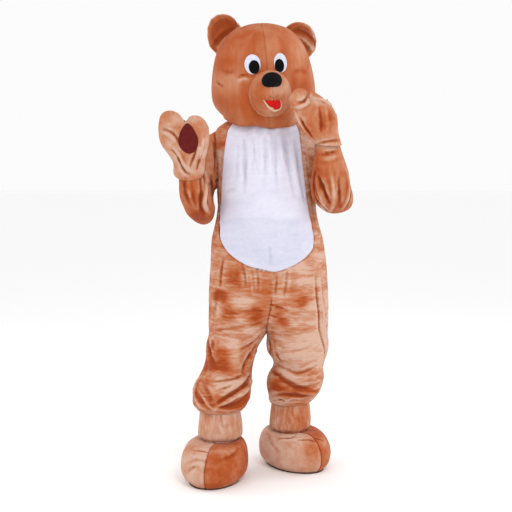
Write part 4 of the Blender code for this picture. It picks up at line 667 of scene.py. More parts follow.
# %% The crease tables
Crease = namedtuple("Crease", "piece view depth width path")
CREASES = [
    # the right leg: a ridge runs down across the shin, over a deep valley, and the hem rolls over the cuff
    Crease("front_right", "front", 0.011, 0.0095, [
        (-0.050, -0.998), (-0.071, -1.034), (-0.123, -1.056), (-0.175, -1.081), (-0.215, -1.108),
    ]),
    Crease("front_right", "front", -0.010, 0.011, [
        (-0.060, -0.988), (-0.086, -1.016), (-0.122, -1.036), (-0.162, -1.056), (-0.196, -1.082),
    ]),
    Crease("front_right", "front", 0.006, 0.009, [
        (-0.066, -1.080), (-0.097, -1.100), (-0.133, -1.108), (-0.185, -1.104), (-0.215, -1.110),
    ]),
    Crease("front_right", "front", -0.007, 0.011, [
        (-0.075, -1.060), (-0.110, -1.082), (-0.150, -1.094), (-0.195, -1.098),
    ]),
    Crease("front_right", "front", 0.006, 0.007, [
        (-0.282, -1.030), (-0.252, -1.058), (-0.236, -1.082), (-0.212, -1.106),
    ]),
    Crease("front_right", "front", -0.005, 0.012, [
        (-0.262, -1.010), (-0.240, -1.030), (-0.226, -1.052), (-0.216, -1.074),
    ]),
    Crease("front_right", "front", 0.008, 0.011, [
        (-0.262, -0.998), (-0.284, -1.026), (-0.288, -1.057), (-0.270, -1.092), (-0.236, -1.110),
    ]),
    Crease("front_right", "front", -0.009, 0.018, [
        (-0.250, -0.830), (-0.242, -0.872), (-0.227, -0.915), (-0.200, -0.966),
    ]),
    Crease("front_right", "front", -0.008, 0.010, [
        (-0.040, -0.872), (-0.069, -0.915), (-0.090, -0.950), (-0.098, -0.978),
    ]),
    Crease("front_right", "front", 0.005, 0.008, [(-0.034, -0.900), (-0.056, -0.930), (-0.074, -0.964)]),
    Crease("front_right", "front", -0.005, 0.008, [
        (-0.084, -0.975), (-0.118, -0.989), (-0.165, -0.994), (-0.222, -1.006),
    ]),
    Crease("front_right", "front", 0.004, 0.006, [(-0.118, -0.998), (-0.160, -1.008), (-0.205, -1.024)]),
    Crease("front_right", "front", -0.003, 0.005, [(-0.130, -1.012), (-0.164, -1.022), (-0.190, -1.030)]),
    Crease("front_right", "front", 0.0022, 0.004, [
        (-0.236, -0.808), (-0.180, -0.789), (-0.123, -0.781), (-0.060, -0.772), (-0.008, -0.766),
    ]),
    Crease("front_right", "front", -0.0025, 0.006, [
        (-0.225, -0.815), (-0.160, -0.800), (-0.090, -0.792),
    ]),
    Crease("front_right", "front", -0.003, 0.016, [(-0.196, -0.640), (-0.205, -0.700), (-0.214, -0.760)]),
    Crease("front_right", "front", -0.004, 0.008, [(-0.020, -0.830), (-0.060, -0.862), (-0.110, -0.882)]),
    Crease("front_right", "front", 0.003, 0.007, [(-0.020, -0.810), (-0.058, -0.838), (-0.100, -0.852)]),
    # the left leg: it bulges at the knee, hangs over a deep fold, and its hem bunches in a crescent
    Crease("front_left", "front", -0.009, 0.012, [
        (0.018, -0.988), (0.048, -1.002), (0.080, -1.020), (0.118, -1.037), (0.160, -1.044),
        (0.214, -1.036),
    ]),
    Crease("front_left", "front", 0.005, 0.012, [
        (0.030, -0.962), (0.070, -0.984), (0.120, -1.004), (0.180, -1.004), (0.220, -0.990),
    ]),
    Crease("front_left", "front", 0.009, 0.010, [
        (0.012, -1.076), (0.048, -1.062), (0.102, -1.054), (0.150, -1.062), (0.206, -1.082),
    ]),
    Crease("front_left", "front", -0.005, 0.008, [
        (0.040, -1.086), (0.080, -1.078), (0.130, -1.078), (0.185, -1.094),
    ]),
    Crease("front_left", "front", 0.006, 0.006, [
        (0.068, -1.118), (0.102, -1.092), (0.151, -1.090), (0.205, -1.086),
    ]),
    Crease("front_left", "front", -0.005, 0.005, [(0.030, -1.112), (0.060, -1.102), (0.078, -1.116)]),
    Crease("front_left", "front", -0.009, 0.008, [
        (0.192, -0.570), (0.198, -0.657), (0.207, -0.727), (0.213, -0.810), (0.231, -0.870),
        (0.238, -0.913), (0.230, -0.985),
    ]),
    Crease("front_left", "front", 0.007, 0.009, [
        (0.208, -0.560), (0.214, -0.657), (0.224, -0.727), (0.232, -0.800), (0.244, -0.860),
    ]),
    Crease("front_left", "front", -0.004, 0.006, [
        (0.086, -0.972), (0.123, -0.984), (0.165, -0.974), (0.206, -0.954),
    ]),
    Crease("front_left", "front", 0.003, 0.006, [(0.100, -0.956), (0.140, -0.966), (0.196, -0.936)]),
    Crease("front_left", "front", -0.003, 0.006, [(0.042, -0.958), (0.070, -0.970), (0.098, -0.974)]),
    Crease("front_left", "front", -0.006, 0.009, [
        (0.004, -0.838), (0.012, -0.880), (0.012, -0.930), (0.030, -0.972),
    ]),
    Crease("front_left", "front", 0.004, 0.009, [(0.022, -0.850), (0.030, -0.905), (0.046, -0.950)]),
    Crease("front_left", "front", -0.0014, 0.007, [
        (0.020, -0.816), (0.070, -0.826), (0.130, -0.816), (0.170, -0.798),
    ]),
    Crease("front_left", "front", -0.0016, 0.007, [
        (0.060, -0.880), (0.100, -0.890), (0.150, -0.878), (0.200, -0.852),
    ]),
    Crease("front_left", "front", -0.0014, 0.008, [(0.040, -0.908), (0.090, -0.926), (0.150, -0.920)]),
    # creases down from the belly panel's lower edge, and short pulls from the crotch seam
    Crease("front_right", "front", -0.004, 0.007, [(-0.100, -0.530), (-0.088, -0.580), (-0.084, -0.630)]),
    Crease("front_right", "front", 0.003, 0.006, [(-0.070, -0.550), (-0.060, -0.610), (-0.056, -0.660)]),
    Crease("front_right", "front", -0.003, 0.006, [(-0.040, -0.560), (-0.034, -0.600), (-0.036, -0.650)]),
    Crease("front_right", "front", -0.005, 0.009, [(-0.170, -0.510), (-0.182, -0.570), (-0.186, -0.640)]),
    Crease("front_left", "front", 0.004, 0.006, [(0.020, -0.572), (0.012, -0.620), (0.008, -0.680)]),
    Crease("front_left", "front", -0.003, 0.006, [(0.038, -0.568), (0.036, -0.610), (0.030, -0.660)]),
    Crease("front_left", "front", -0.003, 0.007, [(0.080, -0.556), (0.076, -0.610), (0.066, -0.670)]),
    Crease("front_left", "front", -0.004, 0.006, [(0.002, -0.700), (0.040, -0.706), (0.086, -0.722)]),
    Crease("front_left", "front", -0.003, 0.005, [(0.002, -0.740), (0.040, -0.752), (0.080, -0.756)]),
    Crease("front_right", "front", -0.003, 0.005, [(-0.004, -0.726), (-0.050, -0.718), (-0.096, -0.724)]),
    Crease("front_right", "front", -0.003, 0.005, [(-0.004, -0.768), (-0.044, -0.778), (-0.090, -0.800)]),
    # the belly: gathers fall from the neck and die out towards the waist
    Crease("belly", "front", -0.0070, 0.0110, [
        (-0.092, -0.040), (-0.091, -0.120), (-0.088, -0.200), (-0.090, -0.262),
    ]),
    Crease("belly", "front", 0.0040, 0.0102, [(-0.074, -0.030), (-0.070, -0.110), (-0.069, -0.185)]),
    Crease("belly", "front", -0.0040, 0.0085, [(-0.055, -0.030), (-0.050, -0.090), (-0.048, -0.150)]),
    Crease("belly", "front", 0.0040, 0.0085, [(-0.026, -0.030), (-0.024, -0.100), (-0.024, -0.170)]),
    Crease("belly", "front", -0.0040, 0.0102, [(-0.010, -0.030), (-0.006, -0.110), (-0.010, -0.240)]),
    Crease("belly", "front", 0.0050, 0.0085, [(0.008, -0.030), (0.013, -0.110), (0.016, -0.190)]),
    Crease("belly", "front", -0.0050, 0.0085, [
        (0.030, -0.030), (0.034, -0.090), (0.036, -0.170), (0.040, -0.230),
    ]),
    Crease("belly", "front", 0.0040, 0.0085, [(0.048, -0.030), (0.056, -0.100), (0.066, -0.170)]),
    Crease("belly", "front", -0.0050, 0.0102, [
        (0.066, -0.030), (0.078, -0.110), (0.092, -0.190), (0.110, -0.290),
    ]),
    Crease("belly", "front", 0.0050, 0.0102, [
        (0.084, -0.030), (0.098, -0.110), (0.114, -0.190), (0.132, -0.280),
    ]),
    Crease("belly", "front", -0.0060, 0.0119, [
        (0.102, -0.030), (0.118, -0.120), (0.134, -0.210), (0.150, -0.300),
    ]),
    Crease("belly", "front", -0.0040, 0.0119, [(-0.110, -0.060), (-0.116, -0.130), (-0.122, -0.220)]),
    Crease("belly", "front", -0.0030, 0.0102, [(-0.165, -0.268), (-0.150, -0.252), (-0.122, -0.244)]),
    Crease("belly", "front", -0.0030, 0.0102, [(0.008, -0.460), (0.012, -0.500), (0.010, -0.540)]),
    Crease("belly", "front", -0.0012, 0.0170, [
        (-0.160, -0.372), (-0.060, -0.360), (0.060, -0.368), (0.160, -0.380),
    ]),
    # the right sleeve: long folds run down from the mitt to the elbow, which hangs in a point
    Crease("sleeve_right", "front", 0.009, 0.009, [
        (-0.246, -0.170), (-0.236, -0.235), (-0.240, -0.300), (-0.224, -0.342),
    ]),
    Crease("sleeve_right", "front", -0.009, 0.009, [
        (-0.256, -0.190), (-0.252, -0.255), (-0.257, -0.310), (-0.246, -0.346),
    ]),
    Crease("sleeve_right", "front", -0.005, 0.007, [
        (-0.222, -0.190), (-0.218, -0.250), (-0.212, -0.310),
    ]),
    Crease("sleeve_right", "front", 0.005, 0.008, [(-0.300, -0.200), (-0.296, -0.260), (-0.276, -0.330)]),
    Crease("sleeve_right", "front", -0.004, 0.008, [
        (-0.318, -0.200), (-0.316, -0.250), (-0.302, -0.300),
    ]),
    Crease("sleeve_right", "front", -0.005, 0.006, [
        (-0.212, -0.060), (-0.206, -0.120), (-0.206, -0.180),
    ]),
    Crease("sleeve_right", "right", -0.007, 0.011, [(0.060, -0.080), (0.040, -0.160), (0.000, -0.240)]),
    Crease("sleeve_right", "right", 0.006, 0.011, [(0.030, -0.070), (0.010, -0.150), (-0.030, -0.220)]),
    Crease("sleeve_right", "right", -0.006, 0.010, [
        (-0.040, -0.210), (-0.090, -0.240), (-0.140, -0.230),
    ]),
    Crease("sleeve_right", "back", -0.008, 0.011, [(-0.230, -0.080), (-0.262, -0.160), (-0.282, -0.240)]),
    Crease("sleeve_right", "back", 0.007, 0.011, [(-0.250, -0.060), (-0.286, -0.140), (-0.304, -0.210)]),
    Crease("sleeve_right", "back", -0.006, 0.009, [(-0.222, -0.250), (-0.262, -0.276), (-0.306, -0.270)]),
    # the left sleeve: it bunches at the inner elbow and hangs in loose rolls under the forearm
    Crease("sleeve_left", "front", -0.009, 0.008, [
        (0.182, -0.168), (0.176, -0.205), (0.180, -0.255), (0.204, -0.312),
    ]),
    Crease("sleeve_left", "front", 0.007, 0.008, [
        (0.192, -0.176), (0.190, -0.212), (0.200, -0.262), (0.224, -0.306),
    ]),
    Crease("sleeve_left", "front", -0.010, 0.008, [
        (0.190, -0.186), (0.206, -0.225), (0.226, -0.270), (0.240, -0.300),
    ]),
    Crease("sleeve_left", "front", 0.006, 0.006, [(0.180, -0.250), (0.206, -0.290), (0.232, -0.322)]),
    Crease("sleeve_left", "front", -0.006, 0.006, [(0.186, -0.268), (0.210, -0.304), (0.236, -0.334)]),
    Crease("sleeve_left", "front", 0.005, 0.009, [
        (0.236, -0.160), (0.250, -0.230), (0.256, -0.300), (0.244, -0.340),
    ]),
    Crease("sleeve_left", "front", -0.005, 0.008, [(0.270, -0.190), (0.276, -0.250), (0.282, -0.320)]),
    Crease("sleeve_left", "front", 0.006, 0.009, [
        (0.296, -0.150), (0.312, -0.210), (0.312, -0.280), (0.290, -0.330),
    ]),
    Crease("sleeve_left", "front", -0.007, 0.008, [
        (0.310, -0.130), (0.324, -0.190), (0.326, -0.260), (0.310, -0.310),
    ]),
    Crease("sleeve_left", "front", -0.004, 0.006, [(0.204, -0.110), (0.232, -0.106), (0.262, -0.096)]),
    Crease("sleeve_left", "front", 0.003, 0.006, [(0.210, -0.128), (0.240, -0.124), (0.268, -0.116)]),
    Crease("sleeve_left", "left", -0.008, 0.012, [
        (0.050, -0.070), (0.030, -0.140), (-0.010, -0.220), (-0.060, -0.280),
    ]),
    Crease("sleeve_left", "left", 0.007, 0.012, [(0.020, -0.060), (0.000, -0.130), (-0.040, -0.200)]),
    Crease("sleeve_left", "left", -0.006, 0.010, [(-0.060, -0.230), (-0.120, -0.240), (-0.170, -0.200)]),
    Crease("sleeve_left", "back", -0.008, 0.011, [(0.232, -0.070), (0.266, -0.150), (0.292, -0.230)]),
    Crease("sleeve_left", "back", 0.007, 0.012, [(0.256, -0.060), (0.292, -0.140), (0.312, -0.200)]),
    Crease("sleeve_left", "back", -0.006, 0.010, [(0.222, -0.250), (0.262, -0.262), (0.312, -0.250)]),
    # the narrow strips of the fronts beside the belly
    Crease("front_right", "front", -0.004, 0.007, [
        (-0.176, -0.060), (-0.184, -0.160), (-0.186, -0.260), (-0.180, -0.340),
    ]),
    Crease("front_left", "front", -0.004, 0.007, [
        (0.152, -0.100), (0.166, -0.200), (0.180, -0.300), (0.192, -0.400),
    ]),
    Crease("front_right", "front", -0.005, 0.007, [(-0.182, -0.340), (-0.176, -0.380), (-0.180, -0.430)]),
    # the back: shoulder folds, drag lines to the seat, and the same rolls above the hems
    Crease("back_right", "back", -0.007, 0.012, [(-0.165, -0.080), (-0.120, -0.150), (-0.090, -0.240)]),
    Crease("back_left", "back", -0.008, 0.012, [(0.160, -0.070), (0.124, -0.160), (0.100, -0.260)]),
    Crease("back_right", "back", 0.005, 0.012, [(-0.140, -0.120), (-0.104, -0.200), (-0.080, -0.290)]),
    Crease("back_left", "back", 0.005, 0.012, [(0.132, -0.130), (0.096, -0.220), (0.070, -0.300)]),
    Crease("back_right", "back", -0.006, 0.011, [(-0.170, -0.410), (-0.110, -0.440), (-0.040, -0.446)]),
    Crease("back_left", "back", -0.007, 0.012, [(0.176, -0.400), (0.120, -0.426), (0.050, -0.430)]),
    Crease("back_right", "back", -0.007, 0.010, [
        (-0.020, -0.790), (-0.080, -0.772), (-0.150, -0.770), (-0.210, -0.784),
    ]),
    Crease("back_left", "back", -0.007, 0.011, [
        (0.020, -0.800), (0.080, -0.776), (0.150, -0.776), (0.216, -0.796),
    ]),
    Crease("back_right", "back", -0.005, 0.009, [(-0.030, -0.740), (-0.090, -0.716), (-0.150, -0.716)]),
    Crease("back_left", "back", -0.004, 0.009, [(0.030, -0.752), (0.080, -0.730), (0.140, -0.736)]),
    Crease("back_right", "back", -0.008, 0.011, [
        (-0.090, -0.936), (-0.150, -0.956), (-0.210, -0.940), (-0.252, -0.910),
    ]),
    Crease("back_left", "back", -0.008, 0.011, [
        (0.040, -0.930), (0.100, -0.950), (0.170, -0.940), (0.224, -0.908),
    ]),
    Crease("back_right", "back", 0.009, 0.011, [
        (-0.090, -1.020), (-0.140, -1.046), (-0.200, -1.050), (-0.262, -1.028),
    ]),
    Crease("back_left", "back", 0.009, 0.011, [
        (0.020, -1.030), (0.080, -1.058), (0.150, -1.056), (0.214, -1.030),
    ]),
    Crease("back_right", "back", -0.009, 0.010, [
        (-0.084, -0.996), (-0.140, -1.020), (-0.200, -1.024), (-0.262, -1.002),
    ]),
    Crease("back_left", "back", -0.009, 0.010, [
        (0.016, -1.004), (0.080, -1.030), (0.150, -1.030), (0.214, -1.004),
    ]),
    Crease("back_right", "back", -0.006, 0.008, [(-0.100, -1.080), (-0.160, -1.094), (-0.230, -1.086)]),
    Crease("back_left", "back", -0.006, 0.008, [(0.030, -1.088), (0.090, -1.100), (0.160, -1.090)]),
    Crease("back_right", "back", -0.005, 0.009, [(-0.190, -0.560), (-0.196, -0.660), (-0.204, -0.760)]),
    Crease("back_left", "back", -0.005, 0.009, [(0.196, -0.560), (0.204, -0.660), (0.214, -0.760)]),
    # the mitts: the cloth bunches round the pad and runs in folds to the cuffs
    Crease("palm_right", "front", -0.004, 0.006, [
        (-0.392, -0.014), (-0.362, -0.026), (-0.340, -0.048), (-0.332, -0.070),
    ]),
    Crease("palm_right", "front", 0.004, 0.006, [(-0.388, -0.030), (-0.362, -0.040), (-0.344, -0.062)]),
    Crease("palm_right", "front", -0.005, 0.006, [
        (-0.366, -0.086), (-0.342, -0.108), (-0.328, -0.140), (-0.306, -0.184),
    ]),
    Crease("palm_right", "front", 0.005, 0.007, [(-0.350, -0.092), (-0.328, -0.122), (-0.312, -0.160)]),
    Crease("palm_right", "front", -0.005, 0.006, [(-0.264, -0.090), (-0.276, -0.120), (-0.292, -0.160)]),
    Crease("palm_right", "front", 0.005, 0.006, [(-0.250, -0.080), (-0.264, -0.110), (-0.280, -0.150)]),
    Crease("palm_right", "front", -0.005, 0.005, [(-0.246, -0.110), (-0.258, -0.140), (-0.268, -0.170)]),
    Crease("palm_right", "front", 0.004, 0.005, [(-0.238, -0.050), (-0.246, -0.090), (-0.254, -0.130)]),
    Crease("palm_right", "front", -0.004, 0.007, [(-0.330, -0.150), (-0.310, -0.176), (-0.286, -0.184)]),
    Crease("mitt_back_right", "back", -0.005, 0.008, [
        (-0.370, -0.060), (-0.330, -0.100), (-0.300, -0.150),
    ]),
    Crease("mitt_back_right", "back", -0.005, 0.008, [
        (-0.260, -0.070), (-0.280, -0.110), (-0.292, -0.160),
    ]),
    Crease("mitt_back_left", "front", 0.005, 0.006, [
        (0.164, 0.112), (0.148, 0.080), (0.118, 0.066), (0.092, 0.066),
    ]),
    Crease("mitt_back_left", "front", -0.005, 0.006, [(0.156, 0.122), (0.138, 0.090), (0.112, 0.080)]),
    Crease("mitt_back_left", "front", -0.004, 0.008, [(0.190, 0.070), (0.198, 0.020), (0.200, -0.030)]),
    Crease("mitt_back_left", "front", 0.003, 0.008, [(0.214, 0.070), (0.222, 0.020), (0.222, -0.030)]),
    Crease("mitt_back_left", "front", 0.004, 0.006, [
        (0.160, 0.104), (0.210, 0.090), (0.246, 0.066), (0.268, 0.034),
    ]),
    Crease("mitt_back_left", "front", -0.004, 0.006, [(0.186, -0.072), (0.224, -0.062), (0.280, -0.056)]),
    Crease("mitt_back_left", "front", 0.004, 0.006, [
        (0.098, 0.058), (0.116, 0.014), (0.150, -0.034), (0.178, -0.066),
    ]),
    Crease("mitt_back_left", "front", -0.005, 0.006, [(0.120, 0.030), (0.140, -0.010), (0.170, -0.048)]),
    Crease("palm_left", "back", -0.005, 0.008, [(0.150, -0.040), (0.190, -0.056), (0.240, -0.050)]),
    # the boots: wrinkles across the instep, below the cuff
    Crease("boot_outer_right", "front", -0.005, 0.006, [
        (-0.296, -1.262), (-0.250, -1.258), (-0.200, -1.262), (-0.150, -1.262),
    ]),
    Crease("boot_outer_right", "front", 0.004, 0.006, [
        (-0.300, -1.276), (-0.250, -1.272), (-0.200, -1.278), (-0.130, -1.276),
    ]),
    Crease("boot_outer_right", "front", -0.0025, 0.009, [
        (-0.302, -1.300), (-0.270, -1.284), (-0.226, -1.288),
    ]),
    Crease("boot_outer_right", "front", -0.0030, 0.010, [
        (-0.308, -1.334), (-0.286, -1.310), (-0.256, -1.302),
    ]),
    Crease("boot_inner_right", "front", -0.003, 0.009, [
        (-0.110, -1.256), (-0.140, -1.274), (-0.190, -1.282),
    ]),
    Crease("boot_inner_left", "front", -0.005, 0.006, [
        (0.020, -1.236), (0.060, -1.228), (0.110, -1.226), (0.160, -1.216),
    ]),
    Crease("boot_inner_left", "front", 0.004, 0.006, [
        (0.020, -1.250), (0.060, -1.244), (0.110, -1.240), (0.160, -1.228),
    ]),
    Crease("boot_inner_left", "front", -0.004, 0.006, [
        (0.060, -1.262), (0.110, -1.250), (0.170, -1.238), (0.220, -1.240),
    ]),
    Crease("boot_outer_left", "front", -0.003, 0.006, [
        (0.176, -1.256), (0.206, -1.262), (0.236, -1.276),
    ]),
    Crease("boot_inner_left", "front", -0.003, 0.012, [
        (0.004, -1.256), (0.024, -1.290), (0.050, -1.310),
    ]),
    # the muzzle's edge is drawn in by its seam, and the ears fold over at their feet
    Crease("muzzle_right", "front", -0.0045, 0.006, [
        (-0.056, 0.176), (-0.061, 0.131), (-0.057, 0.094), (-0.044, 0.064), (-0.018, 0.047),
        (0.001, 0.041),
    ]),
    Crease("muzzle_left", "front", -0.0035, 0.006, [
        (0.012, 0.041), (0.046, 0.046), (0.070, 0.058), (0.082, 0.080),
    ]),
    Crease("ear_right", "front", 0.0060, 0.008, [
        (-0.114, 0.386), (-0.1475, 0.366), (-0.178, 0.338), (-0.198, 0.306),
    ]),
    Crease("ear_right", "front", -0.0060, 0.008, [
        (-0.132, 0.392), (-0.162, 0.374), (-0.192, 0.346), (-0.210, 0.316),
    ]),
    Crease("ear_left", "front", 0.0070, 0.009, [
        (0.104, 0.366), (0.144, 0.350), (0.172, 0.322), (0.184, 0.300),
    ]),
    Crease("ear_left", "front", -0.0060, 0.008, [
        (0.118, 0.382), (0.158, 0.366), (0.188, 0.336), (0.200, 0.312),
    ]),
    # small wrinkles where the padding of the face is pulled
    Crease("face_right", "front", 0.003, 0.007, [(-0.112, 0.168), (-0.094, 0.180), (-0.070, 0.178)]),
    Crease("face_right", "front", -0.003, 0.005, [(-0.112, 0.186), (-0.092, 0.190), (-0.072, 0.188)]),
    Crease("face_right", "front", -0.003, 0.006, [(-0.198, 0.176), (-0.186, 0.162), (-0.170, 0.152)]),
    Crease("face_right", "front", -0.0018, 0.010, [(-0.176, 0.216), (-0.150, 0.206), (-0.118, 0.210)]),
    Crease("face_left", "front", -0.0016, 0.012, [(0.098, 0.206), (0.128, 0.214), (0.160, 0.208)]),
]
print(len(CREASES), "creases")

# %% [markdown]
# Every garment also has its own slow waviness, and drag lines that run across the legs or down the
# sleeves. The seams pull the cloth in along a narrow groove. All of it is added up as one height over
# the smooth skin, and the skin is moved along its normals by it.

# %% Sculpt the skins
PATH_STEP = 0.004
OUTLINE_STEPS = 8
VIEW_RAYS = {
    "front": (Vector((0, -2, 0)), Vector((0, 1, 0))),
    "back": (Vector((0, 2, 0)), Vector((0, -1, 0))),
    "left": (Vector((2, 0, 0)), Vector((-1, 0, 0))),
    "right": (Vector((-2, 0, 0)), Vector((1, 0, 0))),
}
Surface = namedtuple("Surface", "swell swell_size drag drag_scale seam_depth seam_width")
SURFACES = {
    "suit": Surface(0.0016, 0.110, 0.0009, (7, 9, 42), 0.0022, 0.0045),
    "head": Surface(0.0011, 0.120, 0.0003, (26, 22, 9), 0.0005, 0.0035),
    "mitt": Surface(0.0018, 0.060, 0.0008, (22, 22, 22), 0.0018, 0.0035),
    "boot": Surface(0.0016, 0.075, 0.0008, (18, 18, 34), 0.0022, 0.0040),
}
JAW_TOP = 0.130
JAW_HEIGHT = 0.085
JAW_SIDE = 0.118
JAW_WIDTH = 0.066
JAW_DROP = 0.030
JAW_ROUNDING = 0.14
NECK_TUCK = 0.012
NECK_TUCK_REACH = 0.055
FOLD_NEAR = 0.0016
FOLD_WIDE = 0.0060
NEAR_ROUNDS = 14
WIDE_ROUNDS = 120
NEAR_SHARE = 0.45
WIDE_SHARE = 0.55
# How a crease varies: its reach in widths, its unevenness, its taper and the swell beside it
CREASE_REACH = 3.2
WIDTH_WAVER = 0.5
DEPTH_WAVER = 0.6
END_TAPER = 0.85
SWELL_BESIDE = 0.55
FALL_OFF = 0.75
GATHERED_CUFF = 0.0014
CUFF_GATHERS = 13


def smooth_loop(points, steps=OUTLINE_STEPS, closed=True):
    """A smooth curve through some points, as more points."""
    count = len(points)
    smooth = []
    for i in range(count if closed else count - 1):
        if closed:
            a, b, c, d = (Vector(points[(i + k) % count]) for k in (-1, 0, 1, 2))
        else:
            a, b, c, d = (Vector(points[min(max(i + k, 0), count - 1)]) for k in (-1, 0, 1, 2))
        for step in range(steps):
            t = step / steps
            cubic = 2 * b + (c - a) * t + (2 * a - 5 * b + 4 * c - d) * t**2 + (3 * b - a - 3 * c + d) * t**3
            smooth.append(cubic / 2)
    if not closed:
        smooth.append(Vector(points[-1]))
    return smooth


def view_point(view, across, height):
    """A place on the view's own plane, far outside the costume."""
    origin, ray = VIEW_RAYS[view]
    return origin + (Vector((across, 0, height)) if ray.x == 0 else Vector((0, across, height)))


def panel_tree(skin, index):
    """A search tree of one panel of a skin."""
    corners = [vertex.co for vertex in skin.data.vertices]
    faces = [tuple(face.vertices) for face in skin.data.polygons if face.material_index == index]
    return BVHTree.FromPolygons(corners, faces)


def path_on(tree, crease):
    """The crease's path, laid on a panel as points a few millimetres apart."""
    rough = smooth_loop(crease.path, 6, closed=False)
    length = sum((b - a).length for a, b in zip(rough, rough[1:]))
    count = max(4, int(length / PATH_STEP))
    shares = np.linspace(0, len(rough) - 1.001, count)
    laid_points = []
    for share in shares:
        flat = rough[int(share)].lerp(rough[int(share) + 1], share % 1)
        start = view_point(crease.view, flat.x, flat.y)
        ray = VIEW_RAYS[crease.view][1]
        hit = tree.ray_cast(start, ray)[0] or tree.find_nearest(start + ray * 1.9)[0]
        laid_points.append(hit)
    return np.array(laid_points)


def crease_height(points, path, crease, seed):
    """How far one crease moves each point: a soft uneven profile that fades at both ends."""
    height = np.zeros(len(points))
    reach = CREASE_REACH * crease.width
    low, high = path.min(axis=0) - reach, path.max(axis=0) + reach
    near = np.nonzero(((points > low) & (points < high)).all(axis=1))[0]
    if not len(near):
        return height
    apart = np.linalg.norm(points[near, None, :] - path[None, :, :], axis=2)
    closest = apart.argmin(axis=1)
    share = (closest + 0.5) / len(path)
    waver = np.array([noise.noise(Vector((seed, 4.0 * s, 0))) for s in np.linspace(0, 1, len(path))])
    width = crease.width * (1 + WIDTH_WAVER * waver[closest])
    further = waver[(closest + len(path) // 3) % len(path)]
    strength = np.sin(np.pi * share) ** END_TAPER * (1 + DEPTH_WAVER * further)
    q = apart[np.arange(len(near)), closest] / width
    height[near] = crease.depth * strength * (1 - SWELL_BESIDE * q**2) * np.exp(-FALL_OFF * q**2)
    return height


def waviness(points, surface):
    """Slow swells, and finer drag lines stretched along the cloth's pull."""
    values = np.empty(len(points))
    drag = Vector(surface.drag_scale)
    for i, point in enumerate(points):
        place = Vector(point)
        slow = noise.noise(place / surface.swell_size)
        bent = place * drag + Vector((slow, slow, slow))
        values[i] = surface.swell * slow + surface.drag * noise.noise(bent + Vector((7, 3, 5)))
    return values


def seam_distance(mesh, points):
    """How far each point of a skin is from the nearest seam between two panels."""
    slots = {}
    for face in mesh.polygons:
        for vertex in face.vertices:
            slots.setdefault(vertex, set()).add(face.material_index)
    on_seam = [vertex for vertex, found in slots.items() if len(found) > 1]
    tree = KDTree(len(on_seam))
    for vertex in on_seam:
        tree.insert(mesh.vertices[vertex].co, vertex)
    tree.balance()
    return np.array([tree.find(point)[2] for point in points])


def smoothed_over(points, edges, rounds):
    """Points averaged with their neighbours, again and again."""
    count = len(points)
    first, second = edges[:, 0], edges[:, 1]
    share = np.bincount(first, minlength=count) + np.bincount(second, minlength=count)
    for _ in range(rounds):
        total = np.zeros_like(points)
        for axis in range(points.shape[1]):
            total[:, axis] = np.bincount(first, points[second, axis], count)
            total[:, axis] += np.bincount(second, points[first, axis], count)
        points = 0.5 * points + 0.5 * total / share[:, None]
    return points


def add_values(mesh, name, values):
    layer = mesh.attributes.new(name, "FLOAT", "POINT")
    layer.data.foreach_set("value", np.asarray(values, np.float32))


def cuff_gathers(skin, points):
    """Soft upright gathers round the ankle cuff of a boot."""
    rise = np.zeros(len(points))
    ring = sorted({v for face in skin.data.polygons if face.material_index == 0 for v in face.vertices})
    middle = points[ring].mean(axis=0)
    for vertex in ring:
        x, y, z = points[vertex] - middle
        turn = math.atan2(y, x)
        uneven = noise.noise(Vector((3 * math.cos(turn), 3 * math.sin(turn), 12 * z)))
        swell = noise.noise(Vector((1.5 * math.cos(turn), 1.5 * math.sin(turn), 9 * z + 4)))
        gather = math.cos(CUFF_GATHERS * turn + 7 * uneven) * (0.4 + uneven)
        rise[vertex] = GATHERED_CUFF * (gather + 2.2 * swell)
    return rise


def neck_tuck(mesh, points):
    """How far the head's lower edge turns inwards, most at the edge itself."""
    rim = bmesh.new()
    rim.from_mesh(mesh)
    edge_points = [vertex.co for vertex in rim.verts if vertex.is_boundary]
    tree = KDTree(len(edge_points))
    for k, point in enumerate(edge_points):
        tree.insert(point, k)
    tree.balance()
    rim.free()
    away = np.array([tree.find(point)[2] for point in points])
    return NECK_TUCK * np.clip(1 - away / NECK_TUCK_REACH, 0, 1) ** 2


def jaw_drop(points):
    """The front of the head's lower edge hangs a little lower beside the chin, and its corners round in."""
    low = np.clip((JAW_TOP - points[:, 2]) / JAW_HEIGHT, 0, 1) ** 1.5
    front = np.clip(-points[:, 1] / 0.08, 0, 1)
    beside = np.exp(-(((np.abs(points[:, 0]) - JAW_SIDE) / JAW_WIDTH) ** 2))
    dropped = points.copy()
    dropped[:, 2] -= JAW_DROP * low * front * beside
    dropped[:, 0] *= 1 - JAW_ROUNDING * low**2
    return dropped


def fold_values(rise, edges):
    """From -1 in a hollow to 1 on a ridge: how the relief differs from what is near and farther off."""
    near = rise - smoothed_over(rise[:, None], edges, NEAR_ROUNDS)[:, 0]
    wide = rise - smoothed_over(rise[:, None], edges, WIDE_ROUNDS)[:, 0]
    return np.clip(NEAR_SHARE * near / FOLD_NEAR + WIDE_SHARE * wide / FOLD_WIDE, -1, 1)


def edges_of(mesh):
    values = np.empty(len(mesh.edges) * 2, np.int32)
    mesh.edges.foreach_get("vertices", values)
    return values.reshape(-1, 2)


